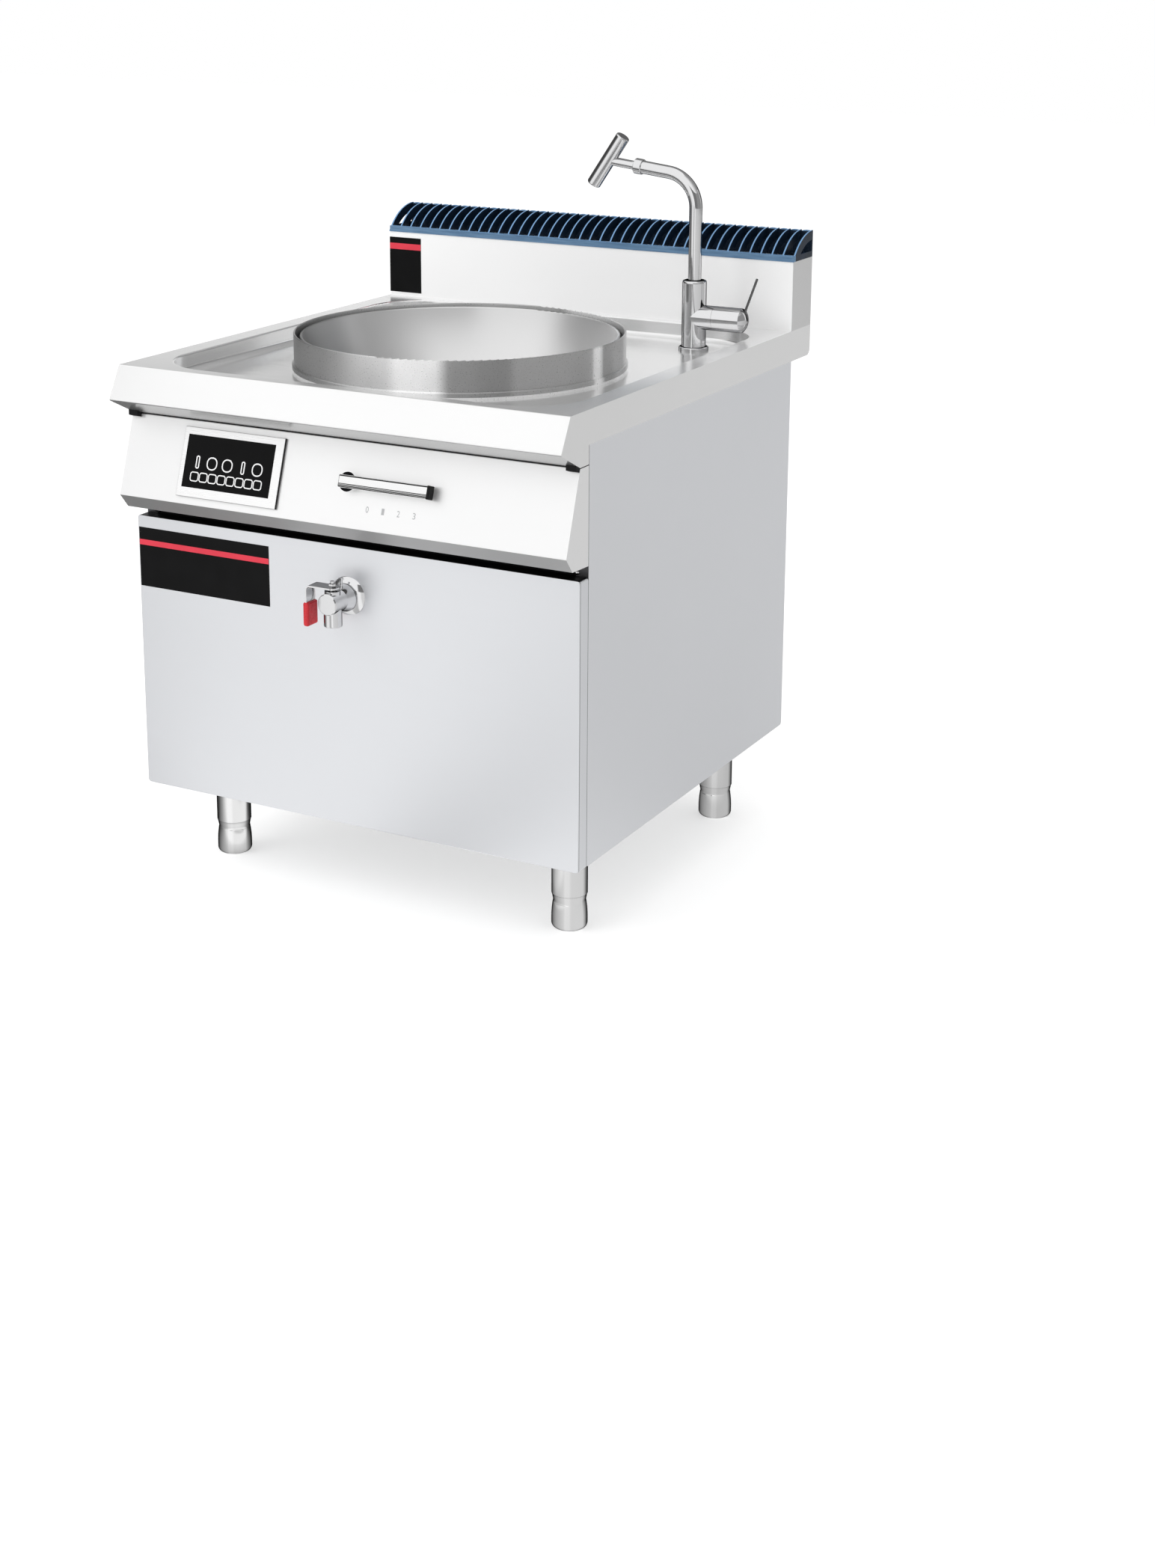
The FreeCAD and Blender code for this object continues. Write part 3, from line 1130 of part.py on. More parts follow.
def tap_handle():
    """The domed cap on the mixer's spindle, slotted for the lever."""
    start = CLEAR
    shoulder = HANDLE_LENGTH - HANDLE_DOME
    steps = [(0, start), (TAP_BODY_RADIUS, start), (TAP_BODY_RADIUS, shoulder),
             dome(TAP_BODY_RADIUS, shoulder, HANDLE_DOME)]
    cap = turned(lathe(steps), Y_AXIS, 90)
    spindle = rod(SPINDLE_RADIUS, V(-SPINDLE_LENGTH, 0, 0), V(start + 1, 0, 0))
    half = ROD_RADIUS + ROD_SLOT_GAP
    swing = TAP_BODY_RADIUS * math.tan(math.radians(ROD_LEAN + ROD_SWING)) + 2 * half
    slot = box(LEVER_PIVOT - half, LEVER_PIVOT + swing, -half, half, 0, TAP_BODY_RADIUS + 1)
    slot = slot.fuse(rod(half, V(LEVER_PIVOT, -half, 0), V(LEVER_PIVOT, half, 0)))
    reach = LEVER_PIN_LENGTH / 2 + CLEAR
    pin_hole = rod(LEVER_PIN_RADIUS + RUNNING, V(LEVER_PIVOT, -reach, 0), V(LEVER_PIVOT, reach, 0))
    solid = cap.fuse(spindle).cut(slot).cut(pin_hole)
    return moved(solid, MIXER_X, TAP_Y, MIXER_Z)


def tap_lever_rod():
    """The thin lever on a cross pin in the cap's slot."""
    stick = upright(ROD_RADIUS, 0, ROD_LENGTH)
    stick = stick.makeFillet(ROD_RADIUS * 0.8, edges_where(stick, lambda p: near(p.z, ROD_LENGTH)))
    stick = turned(stick, Y_AXIS, ROD_LEAN)
    reach = LEVER_PIN_LENGTH / 2
    pin = rod(LEVER_PIN_RADIUS, V(0, -reach, 0), V(0, reach, 0))
    return moved(stick.fuse(pin).removeSplitter(), MIXER_X + LEVER_PIVOT, TAP_Y, MIXER_Z)


def supply_pipe():
    """The water pipe from the inlet behind the cabinet up to the tap's shank."""
    top = DECK_Z - SHANK_LENGTH
    outer = bent_pipe(SUPPLY_RADIUS, top, INLET_Z, SUPPLY_BEND, BACK_INNER, TAP_X, TAP_Y)
    inner = bent_pipe(SUPPLY_RADIUS - SUPPLY_WALL, top, INLET_Z, SUPPLY_BEND, BACK_INNER, TAP_X, TAP_Y)
    return outer.cut(inner).removeSplitter()


def water_inlet():
    """A threaded nipple through the back panel, with a hexagon against the sheet."""
    nipple = upright(INLET_RADIUS, -SHEET, INLET_REACH)
    hexed = hexagon(INLET_FLATS, INLET_HEX)
    solid = nipple.fuse(hexed).cut(upright(INLET_BORE, -SHEET, INLET_REACH))
    return backward(solid, TAP_X, CABINET_DEPTH, INLET_Z)


# Legs and feet

def leg(x, y):
    """A round leg tube with a threaded plug in its foot and a bolt on its cap."""
    tube_bottom = FOOT_HEIGHT
    solid = upright(LEG_RADIUS, tube_bottom, LEG_HEIGHT)
    solid = solid.cut(upright(LEG_RADIUS - LEG_WALL, tube_bottom + LEG_PLUG, LEG_HEIGHT - LEG_CAP))
    solid = solid.cut(upright(STUD_RADIUS + RUNNING, tube_bottom, tube_bottom + LEG_PLUG))
    bolt = upright(BOLT_RADIUS, LEG_HEIGHT, LEG_HEIGHT + BOLT_REACH)
    return moved(solid.fuse(bolt).removeSplitter(), x, y)


def foot(x, y):
    """The adjustable foot: straight below, waisted under the tube, on a threaded stud."""
    top = FOOT_HEIGHT - CLEAR
    base = LEG_RADIUS - FOOT_EDGE
    slant = FOOT_EDGE * (1 - math.sqrt(0.5))
    neck_z = top - FOOT_COLLAR
    lower_third = (2 * FOOT_SHOULDER + FOOT_WAIST_HEIGHT) / 3
    waist_side = FOOT_WAIST + FOOT_HOLLOW
    steps = [(0, 0), (base, 0), ((LEG_RADIUS - slant, slant), (LEG_RADIUS, FOOT_EDGE)),
             (LEG_RADIUS, FOOT_SHOULDER),
             ((LEG_RADIUS - FOOT_SWELL, lower_third), (waist_side, FOOT_WAIST_HEIGHT - FOOT_COLLAR)),
             ((FOOT_WAIST, FOOT_WAIST_HEIGHT), (waist_side, FOOT_WAIST_HEIGHT + FOOT_COLLAR)),
             (LEG_RADIUS - FOOT_COLLAR_STEP, neck_z), (LEG_RADIUS, top), (STUD_RADIUS, top),
             (STUD_RADIUS, top + STUD_LENGTH), (0, top + STUD_LENGTH)]
    return moved(lathe(steps), x, y)


def leg_nuts():
    nuts = []
    for x, y in LEG_PLACES.values():
        nut = moved(hexagon(BOLT_NUT_FLATS, BOLT_NUT_HEIGHT), x, y, BASE_TOP)
        hole = upright(BOLT_RADIUS + RUNNING, BASE_TOP - 1, BASE_TOP + BOLT_NUT_HEIGHT + 1, x, y)
        nuts.append(nut.cut(hole))
    return Part.makeCompound(nuts)


# Electrical parts

def power_module():
    """The coil's power supply in its case on the cabinet's floor."""
    solid = centred_plate(MODULE_WIDTH, MODULE_DEPTH, BASE_TOP, BASE_TOP + MODULE_HEIGHT, 0, MODULE_Y)
    uprights = [e for e in solid.Edges if near(e.BoundBox.ZLength, MODULE_HEIGHT)]
    return solid.makeFillet(MODULE_ROUND, uprights)


def heat_sink():
    """A finned plate on top of the power module."""
    low = BASE_TOP + MODULE_HEIGHT
    width = MODULE_WIDTH - 2 * SINK_MARGIN
    depth = MODULE_DEPTH - 2 * SINK_MARGIN
    plate = centred_plate(width, depth, low, low + SINK_BASE, 0, MODULE_Y)
    fins = []
    for i in range(SINK_FINS):
        x = (i / (SINK_FINS - 1) - 0.5) * (width - SINK_FIN)
        fins.append(centred_plate(SINK_FIN, depth, low, low + SINK_BASE + SINK_FIN_HEIGHT, x, MODULE_Y))
    return plate.multiFuse(fins).removeSplitter()


def fan_housing():
    """A square fan frame behind the air slots, with the motor's hub on struts."""
    half = FAN_SIZE / 2
    solid = box(-half, half, -half, half, 0, FAN_DEPTH)
    uprights = [e for e in solid.Edges if near(e.BoundBox.ZLength, FAN_DEPTH)]
    solid = solid.makeFillet(FRONT_CORNER, uprights).cut(upright(FAN_BORE, 0, FAN_DEPTH))
    hub_low = FAN_DEPTH - FAN_STRUT
    hub = upright(FAN_HUB, hub_low, FAN_DEPTH)
    struts = [turned(box(0, FAN_BORE + 1, -FAN_STRUT / 2, FAN_STRUT / 2, hub_low, FAN_DEPTH), Z_AXIS,
                     120 * i + 45) for i in range(3)]
    bearing = upright(FAN_SHAFT * 2, hub_low - FAN_STRUT, hub_low + 1)
    solid = solid.fuse(struts + [hub, bearing])
    solid = solid.cut(upright(FAN_SHAFT + RUNNING, hub_low - FAN_STRUT - 1, FAN_DEPTH - 1))
    return forward(solid.removeSplitter(), FAN_X, BACK_INNER, FAN_Z)


def fan_impeller():
    """The fan's hub and pitched blades on a shaft in the housing's bearing."""
    low = FAN_STRUT
    high = FAN_DEPTH - 2 * FAN_STRUT - CLEAR
    hub = upright(FAN_HUB - 1, low, high)
    shaft = upright(FAN_SHAFT, high - 1, FAN_DEPTH - 1 - CLEAR)
    height = high - low - 2
    chord = height / math.cos(math.radians(FAN_BLADE_PITCH)) - 2 * FAN_BLADE_SHEET
    blade = box(FAN_HUB - 4, FAN_BORE - FAN_TIP_GAP, -FAN_BLADE_SHEET / 2, FAN_BLADE_SHEET / 2,
                -chord / 2, chord / 2)
    blade = moved(turned(blade, X_AXIS, FAN_BLADE_PITCH), 0, 0, (low + high) / 2)
    blades = [turned(blade, Z_AXIS, 360 / FAN_BLADES * i) for i in range(FAN_BLADES)]
    envelope = upright(FAN_BORE - FAN_TIP_GAP, low, high)
    bladed = hub.multiFuse(blades).common(envelope)
    return forward(bladed.fuse(shaft).removeSplitter(), FAN_X, BACK_INNER, FAN_Z)


def terminal_box():
    """The mains terminal box on the back panel's inner face, with its lid's raised edge."""
    solid = box(TERMINAL_X - TERMINAL_WIDTH / 2, TERMINAL_X + TERMINAL_WIDTH / 2,
                BACK_INNER - TERMINAL_DEPTH, BACK_INNER, TERMINAL_Z - TERMINAL_HEIGHT / 2,
                TERMINAL_Z + TERMINAL_HEIGHT / 2)
    corners = [e for e in solid.Edges if near(e.BoundBox.YLength, TERMINAL_DEPTH)]
    solid = solid.makeFillet(FOLD_RADIUS, corners)
    lid = box(TERMINAL_X - TERMINAL_WIDTH / 2 + 5, TERMINAL_X + TERMINAL_WIDTH / 2 - 5,
              BACK_INNER - TERMINAL_DEPTH - TERMINAL_LID, BACK_INNER - TERMINAL_DEPTH,
              TERMINAL_Z - TERMINAL_HEIGHT / 2 + 5, TERMINAL_Z + TERMINAL_HEIGHT / 2 - 5)
    return solid.fuse(lid).removeSplitter()


def cable_gland():
    """The mains gland: thread through the back panel, hexagon and domed nut outside, nut inside."""
    inside = -SHEET - GLAND_NUT
    thread = upright(GLAND_THREAD, inside, 1)
    body = hexagon(GLAND_FLATS, GLAND_REACH * 0.35)
    dome_start = GLAND_REACH * 0.35
    shoulder = GLAND_REACH * 0.7
    dome = lathe([(0, dome_start), (GLAND_THREAD + 1, dome_start), (GLAND_THREAD + 1, shoulder),
                  ((GLAND_THREAD - 0.5, GLAND_REACH * 0.92), (GLAND_BORE + 1, GLAND_REACH)),
                  (0, GLAND_REACH)])
    nut = moved(hexagon(GLAND_FLATS, GLAND_NUT), 0, 0, inside)
    solid = thread.fuse([body, dome, nut]).removeSplitter()
    solid = solid.cut(upright(GLAND_BORE, inside - 1, GLAND_REACH + 1))
    return backward(solid, TERMINAL_X, CABINET_DEPTH, GLAND_Z)


def all_nodes():
    nodes = {
        "worktop": worktop(),
        "collar_ring": collar_ring(),
        "wok_seal": wok_seal(),
        "wok_bowl": wok_bowl(),
        "coil_insulation": coil_insulation(),
        "induction_coil": induction_coil(),
        "coil_carrier": coil_carrier(),
        "ferrite_bars": ferrite_bars(),
        "coil_brackets": coil_brackets(),
        "backsplash": backsplash(),
        "vent_grille": vent_grille(),
        "left_side_panel": side_panel(-1),
        "right_side_panel": side_panel(1),
        "back_panel": back_panel(),
        "base_panel": base_panel(),
        "cabinet_frame": cabinet_frame(),
        "lower_front_panel": lower_front_panel(),
        "panel_screws": panel_screws(),
        "worktop_gasket": gasket(),
        "panel_bumpers": panel_bumpers(),
        "control_panel": control_panel(),
        "display_bezel": display_bezel(),
        "display_glass": display_glass(),
        "display_board": display_board(),
        "power_lever": power_lever(),
        "lever_shaft": lever_shaft(),
        "rotary_switch": rotary_switch(),
        "drain_fitting": drain_fitting(),
        "drain_strainer": drain_strainer(),
        "drain_pipe": drain_pipe(),
        "valve_rosette": valve_rosette(),
        "valve_body": valve_body(),
        "valve_cap": valve_cap(),
        "valve_ball": valve_ball(),
        "valve_lever": valve_lever(),
        "valve_grip": valve_grip(),
        "valve_nut": valve_nut(),
        "tap_body": tap_body(),
        "tap_locknut": tap_locknut(),
        "tap_spout": tap_spout(),
        "tap_head": tap_head(),
        "tap_handle": tap_handle(),
        "tap_lever_rod": tap_lever_rod(),
        "supply_pipe": supply_pipe(),
        "water_inlet": water_inlet(),
        "leg_nuts": leg_nuts(),
        "power_module": power_module(),
        "heat_sink": heat_sink(),
        "fan_housing": fan_housing(),
        "fan_impeller": fan_impeller(),
        "terminal_box": terminal_box(),
        "cable_gland": cable_gland(),
    }
    for name, (x, y) in LEG_PLACES.items():
        nodes["leg_" + name] = leg(x, y)
        nodes["foot_" + name] = foot(x, y)
    return nodes


os.makedirs("parts", exist_ok=True)
for node, shape in all_nodes().items():
    moved(shape, 0, -CENTRE_Y).exportStep("parts/" + node + ".step")
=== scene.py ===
import json
import math

import bmesh
import bpy
from mathutils import Matrix, Vector


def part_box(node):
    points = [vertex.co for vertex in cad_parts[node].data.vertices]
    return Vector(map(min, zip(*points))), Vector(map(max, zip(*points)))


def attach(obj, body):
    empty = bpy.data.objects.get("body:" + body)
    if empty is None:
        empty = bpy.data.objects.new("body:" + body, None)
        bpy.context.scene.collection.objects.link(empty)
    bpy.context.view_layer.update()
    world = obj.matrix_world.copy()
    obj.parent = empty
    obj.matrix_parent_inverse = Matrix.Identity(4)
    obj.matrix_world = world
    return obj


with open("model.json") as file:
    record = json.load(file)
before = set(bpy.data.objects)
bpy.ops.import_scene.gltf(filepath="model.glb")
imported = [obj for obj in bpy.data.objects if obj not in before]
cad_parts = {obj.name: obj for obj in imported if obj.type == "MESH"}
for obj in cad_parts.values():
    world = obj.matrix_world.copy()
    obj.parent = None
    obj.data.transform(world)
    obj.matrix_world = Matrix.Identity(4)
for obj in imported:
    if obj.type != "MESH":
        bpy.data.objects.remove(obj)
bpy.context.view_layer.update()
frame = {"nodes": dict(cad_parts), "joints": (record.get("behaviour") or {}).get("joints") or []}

NODES = frame["nodes"]
MM = 0.001

RIGHT = (1, 0, 0)
BACK = (0, 1, 0)
UP = (0, 0, 1)
DOWN = (0, 0, -1)

# The photograph's size and its camera: place in metres, view direction in degrees, focal length and
# principal point in the photograph's pixels, and the sensor's width in millimetres.
PHOTO_W = 1544
PHOTO_H = 2096
CAMERA_PLACE = (1.943, -3.312, 1.549)
CAMERA_AZIMUTH = 28.77
CAMERA_ELEVATION = 14.26
CAMERA_ROLL = 0.12
FOCAL_PIXELS = 3184.6
PRINCIPAL = (725.5, 680.3)
SENSOR = 36.0


# Places read from the frame

def low(node):
    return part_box(node)[0]


def high(node):
    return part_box(node)[1]


def joint(name):
    return next(entry for entry in frame["joints"] if entry["name"] == name)


# The control panel's own frame: the lever's axis is its origin and its outward normal.
LEVER_JOINT = joint("power_lever_turn")
PANEL_ORIGIN = Vector(LEVER_JOINT["pos_m"])
PANEL_OUT = -Vector(LEVER_JOINT["axis"])
PANEL_ACROSS = Vector(RIGHT)
PANEL_UP = PANEL_OUT.cross(PANEL_ACROSS)


def panel_place(x, up, out):
    """A place on the control panel, in millimetres.

    x goes from the range's middle, up from the lever's axis and out from the panel's face."""
    across = PANEL_ACROSS * (x * MM - PANEL_ORIGIN.x)
    return PANEL_ORIGIN + across + PANEL_UP * (up * MM) + PANEL_OUT * (out * MM)


def panel_axes(x, up, out):
    """The panel's frame moved to a place on it: a matrix from across, up and out to the world."""
    turn = Matrix((PANEL_ACROSS, PANEL_UP, PANEL_OUT)).transposed().to_4x4()
    return Matrix.Translation(panel_place(x, up, out)) @ turn


def panel_level(node):
    """How far a node's outermost point stands off the control panel's face, in millimetres."""
    return max((v.co - PANEL_ORIGIN).dot(PANEL_OUT) for v in NODES[node].data.vertices) / MM


# Shader helpers

EVEN = (1, 1, 1)
MIDDLE = (0.3, 0.7)


def new_material(name):
    mat = bpy.data.materials.new(name)
    mat.use_nodes = True
    tree = mat.node_tree
    return mat, tree, tree.nodes["Principled BSDF"]


def object_coords(tree, scale=EVEN):
    """The place on an object in metres, times a scale on each axis."""
    coords = tree.nodes.new("ShaderNodeTexCoord")
    mapping = tree.nodes.new("ShaderNodeMapping")
    mapping.inputs["Scale"].default_value = scale
    tree.links.new(coords.outputs["Object"], mapping.inputs["Vector"])
    return mapping.outputs["Vector"]


def number_math(tree, operation, first, second=None):
    node = tree.nodes.new("ShaderNodeMath")
    node.operation = operation
    tree.links.new(first, node.inputs[0])
    if second is not None:
        tree.links.new(second, node.inputs[1])
    return node.outputs["Value"]


def vector_math(tree, operation, source, value=(0, 0, 0)):
    """A Vector Math node between a socket and a fixed vector; a dot product or a length gives a number."""
    node = tree.nodes.new("ShaderNodeVectorMath")
    node.operation = operation
    tree.links.new(source, node.inputs[0])
    node.inputs[1].default_value = value
    return node.outputs["Value" if operation in ("DOT_PRODUCT", "LENGTH") else "Vector"]


def ramp(tree, source, stops):
    """A colour by a number, from stops of (place, colour)."""
    node = tree.nodes.new("ShaderNodeValToRGB")
    elements = node.color_ramp.elements
    while len(elements) < len(stops):
        elements.new(0.5)
    for element, (place, colour) in zip(elements, stops):
        element.position = place
        element.color = (*colour, 1)
    tree.links.new(source, node.inputs["Fac"])
    return node.outputs["Color"]


def noise(tree, scale, detail=3.0, frequency=1.0, rough=0.5):
    node = tree.nodes.new("ShaderNodeTexNoise")
    node.inputs["Scale"].default_value = frequency
    node.inputs["Detail"].default_value = detail
    node.inputs["Roughness"].default_value = rough
    tree.links.new(object_coords(tree, scale), node.inputs["Vector"])
    return node.outputs["Fac"]


def grey(value):
    return (value, value, value)


def tinted(tone, tint):
    return tuple(min(1.0, max(0.0, tone * c)) for c in tint)


def mottle(tree, source, first, second, span=MIDDLE):
    """A colour that goes from first to second over the middle span of a noise."""
    return ramp(tree, source, [(span[0], first), (span[1], second)])


def vary_roughness(tree, shader, source, least, most, span=MIDDLE):
    tree.links.new(mottle(tree, source, grey(least), grey(most), span), shader.inputs["Roughness"])


def bump(tree, shader, height, strength, depth):
    node = tree.nodes.new("ShaderNodeBump")
    node.inputs["Strength"].default_value = strength
    node.inputs["Distance"].default_value = depth
    tree.links.new(height, node.inputs["Height"])
    tree.links.new(node.outputs["Normal"], shader.inputs["Normal"])


def along(tree, source, direction):
    """How far a normal ("Normal") or a place ("Position", in metres) reaches along a direction."""
    if source == "Normal":
        vector = tree.nodes.new("ShaderNodeNewGeometry").outputs["True Normal"]
    else:
        vector = object_coords(tree)
    return vector_math(tree, "DOT_PRODUCT", vector, direction)


def step(tree, value, start, end, curve="SMOOTHSTEP"):
    """0 at or before start, 1 at or after end, a curve between; start may be the larger of the two."""
    node = tree.nodes.new("ShaderNodeMapRange")
    node.interpolation_type = curve
    node.inputs["From Min"].default_value = start
    node.inputs["From Max"].default_value = end
    tree.links.new(value, node.inputs["Value"])
    return node.outputs["Result"]


def both(tree, first, second):
    """Where two masks overlap."""
    return number_math(tree, "MULTIPLY", first, second)


def socket_mix(tree, mask, first, second):
    """A colour that goes from first to second with the mask; each is a socket or a colour."""
    node = tree.nodes.new("ShaderNodeMix")
    node.data_type = "RGBA"
    tree.links.new(mask, node.inputs["Factor"])
    for side, value in (("A", first), ("B", second)):
        slot = [s for s in node.inputs if s.name == side and s.type == "RGBA"][0]
        if isinstance(value, tuple):
            slot.default_value = (*value, 1)
        else:
            tree.links.new(value, slot)
    return [s for s in node.outputs if s.type == "RGBA"][0]


def share_of_turn(angle):
    """A bearing in degrees as the radial gradient counts it: 0 at -180 degrees, 1 at 180."""
    return angle / 360 + 0.5


def bearing(tree, place):
    """The bearing of a place about the upright axis, as a share of a turn."""
    turn = tree.nodes.new("ShaderNodeTexGradient")
    turn.gradient_type = "RADIAL"
    tree.links.new(place, turn.inputs["Vector"])
    return turn.outputs["Fac"]


def tone_by_bearing(tree, turn, bands):
    """A grey from bands of (bearing in degrees, tone)."""
    return ramp(tree, turn, [(share_of_turn(angle), grey(tone)) for angle, tone in bands])


def bearing_bands(tree, bands, centre, coords="Object"):
    """Painted reflection bands of tone about an upright axis; Generated coordinates have the node's own
    middle at 0.5.
    """
    place = tree.nodes.new("ShaderNodeTexCoord").outputs[coords]
    offset = vector_math(tree, "SUBTRACT", place, (centre[0], centre[1], 0))
    return tone_by_bearing(tree, bearing(tree, offset), bands)


# Masks: where a patch of another tone lies on a node. Lengths are in metres unless a comment says otherwise.

SIDE_FRONT = low("right_side_panel").y
DOOR_FRONT = low("lower_front_panel").y
SEAM = 0.0013
SEAM_EDGES = (0.0002, 0.0003)
DOOR_SEAM_BACK = 0.0018
# Height of the painted white highlight on the collar's bead.
BEAD_HIGHLIGHT_HEIGHT = 0.004
RIM_FADE = (0.001, 0.004)
DECK_INSIDE = {"X": 0.3655, "Y": 0.4015}
DECK_FADE = 0.001
GRILLE_RADIUS = 0.098
FIN_EDGE = (0.0022, 0.0012)
LIP = (0.0105, 0.0095)
# Out of the control panel's face, in millimetres: where the lever's bar starts, how deep the painted
# reflection lines on it may lie, and where its hub ends.
LEVER_BAR_OUT = 14.5
BAR_LINE_DEPTH = 50.0
LEVER_HUB_OUT = 13.5
# The cosine between a face and a direction, from where a mask starts to where it is full.
ABOUT = (0.2, 0.35)
SQUARE_ON = (0.6, 0.8)
NOT_SIDEWAYS = (0.6, 0.3)


def facing(direction, span=ABOUT):
    """Faces that look along a direction."""
    return lambda tree: step(tree, along(tree, "Normal", direction), *span)


def between(direction, start, end, soft=0.0003):
    """What lies between two places along a direction."""
    def mask(tree):
        place = along(tree, "Position", direction)
        return both(tree, step(tree, place, start, start + soft), step(tree, place, end, end - soft))
    return mask


def seam_mask(start, width):
    """A painted shade line for a seam's gap, across y, from start backwards."""
    before, after = SEAM_EDGES

    def mask(tree):
        place = along(tree, "Position", BACK)
        end = start + width
        return both(tree, step(tree, place, start - before, start), step(tree, place, end, end - after))
    return mask


def deck_mask(tree):
    """The sunk deck of the worktop and its walls: all that lies under the rim and inside it."""
    rim = high("worktop").z
    mask = step(tree, along(tree, "Position", UP), rim - RIM_FADE[0], rim - RIM_FADE[1])
    split = tree.nodes.new("ShaderNodeSeparateXYZ")
    tree.links.new(vector_math(tree, "ABSOLUTE", object_coords(tree, (1, 1, 0))), split.inputs["Vector"])
    for axis, inside in DECK_INSIDE.items():
        mask = both(tree, mask, step(tree, split.outputs[axis], inside + DECK_FADE, inside))
    return mask


def bar_line(start, end):
    """A painted reflection line along the front of the lever's bar, between two heights in millimetres from
    the lever's axis.
    """
    middle = PANEL_ORIGIN.dot(PANEL_UP)
    level = PANEL_ORIGIN.dot(PANEL_OUT) + LEVER_BAR_OUT * MM
    front = facing(PANEL_OUT, SQUARE_ON)
    line = between(PANEL_UP, middle + start * MM, middle + end * MM)
    on_bar = between(PANEL_OUT, level, level + BAR_LINE_DEPTH * MM)
    return lambda tree: both(tree, both(tree, front(tree), line(tree)), on_bar(tree))


def hub_mask(tree):
    """The lever's hub: what lies lower than the bar's base and faces outwards."""
    level = PANEL_ORIGIN.dot(PANEL_OUT) + LEVER_HUB_OUT * MM
    low_part = step(tree, along(tree, "Position", PANEL_OUT), level, level - MM)
    return both(tree, low_part, facing(PANEL_OUT, SQUARE_ON)(tree))


def off_panel_mask(tree):
    """Faces that stand square to the control panel's face."""
    return facing(PANEL_OUT, SQUARE_ON[::-1])(tree)


def grille_axis_distance(tree):
    """Distance from the axis of the grille's quarter-round."""
    corner = high("vent_grille")
    axis = (0, corner.y, corner.z - GRILLE_RADIUS)
    offset = vector_math(tree, "SUBTRACT", object_coords(tree, (0, 1, 1)), axis)
    return vector_math(tree, "LENGTH", offset)


def fin_edge_mask(tree):
    """The thin front edges of the louvres, which carry a painted highlight."""
    outer = step(tree, grille_axis_distance(tree), GRILLE_RADIUS - FIN_EDGE[0], GRILLE_RADIUS - FIN_EDGE[1])
    sideways = number_math(tree, "ABSOLUTE", along(tree, "Normal", RIGHT))
    return both(tree, outer, step(tree, sideways, *NOT_SIDEWAYS))


def lip_mask(tree):
    """The long lip along the grille's foot."""
    corner = low("vent_grille")
    low_part = step(tree, along(tree, "Position", UP), corner.z + LIP[0], corner.z + LIP[1])
    front = step(tree, along(tree, "Position", BACK), corner.y + LIP[0], corner.y + LIP[1])
    return both(tree, low_part, front)


# Materials

WHITE = (1.0, 1.0, 1.0)
COOL = (0.985, 1.0, 1.03)
BLACK = (0.008, 0.008, 0.009)
# Noise cells to the metre on each axis: the grain runs along the axis that it is named after.
GRAIN_X = (6, 900, 900)
GRAIN_Z = (900, 900, 6)
ROUND = (500, 500, 500)
LIP_STREAKS = (20, 300, 300)
GRAIN_SPAN = (0.25, 0.75)
CLOUD_SPREAD = 0.008
ROUGHNESS_SPREAD = 0.05
FINE_DEPTH = 0.0002


def steel(name, tone, roughness, grain, metallic=1.0, tint=WHITE, grain_bump=0.02, patches=(), edge=1.0):
    """Stainless sheet: an even tone, fine grain stretched along one axis, and patches (mask, tone) over it.

    The edge value is how much of the shine is left where the metal turns away."""
    mat, tree, shader = new_material(name)
    shader.inputs["Metallic"].default_value = metallic
    shader.inputs["Specular Tint"].default_value = (edge, edge, edge, 1)
    cloud = noise(tree, EVEN, detail=2.0, frequency=3.0)
    colour = mottle(tree, cloud, tinted(tone - CLOUD_SPREAD, tint), tinted(tone + CLOUD_SPREAD, tint))
    for mask, patch in patches:
        colour = socket_mix(tree, mask(tree), colour, patch)
    tree.links.new(colour, shader.inputs["Base Color"])
    fine = noise(tree, grain, detail=4.0, rough=0.6)
    spread = min(ROUGHNESS_SPREAD, roughness / 3)
    vary_roughness(tree, shader, fine, roughness - spread, roughness + spread, GRAIN_SPAN)
    bump(tree, shader, fine, grain_bump, FINE_DEPTH)
    return mat


def turned_leg(name):
    """Polished round legs and feet, with painted reflection bands of tone about its own axis."""
    mat = steel(name, 0.9, 0.12, GRAIN_Z, grain_bump=0.01, edge=0.0)
    tree = mat.node_tree
    bands = bearing_bands(tree, LEG_REFLECTION_BANDS, (0.5, 0.5), "Generated")
    tree.links.new(bands, tree.nodes["Principled BSDF"].inputs["Base Color"])
    return mat


def spun(name, bands, roughness, stretch, metallic=1.0, grain_bump=0.004, bead_highlight=False):
    """Turned or spun metal: its shine is drawn out across the fine rings about the upright axis.

    The bands are painted reflections, tones by bearing about the wok's axis; the bead at the foot gets a
    painted white highlight."""
    mat = steel(name, 0.9, roughness, ROUND, metallic, grain_bump=grain_bump)
    tree = mat.node_tree
    shader = tree.nodes["Principled BSDF"]
    centre = (low("wok_bowl") + high("wok_bowl")) / 2
    colour = bearing_bands(tree, bands, centre)
    # A painted highlight: a white line round the collar's foot.
    if bead_highlight:
        foot = low("collar_ring").z
        colour = socket_mix(tree, between(UP, foot - MM, foot + BEAD_HIGHLIGHT_HEIGHT)(tree), colour, WHITE)
    tree.links.new(colour, shader.inputs["Base Color"])
    tangent = tree.nodes.new("ShaderNodeTangent")
    tangent.direction_type = "RADIAL"
    tangent.axis = "Z"
    tree.links.new(tangent.outputs["Tangent"], shader.inputs["Tangent"])
    shader.inputs["Anisotropic"].default_value = stretch
    shader.inputs["Anisotropic Rotation"].default_value = 0.25
    return mat


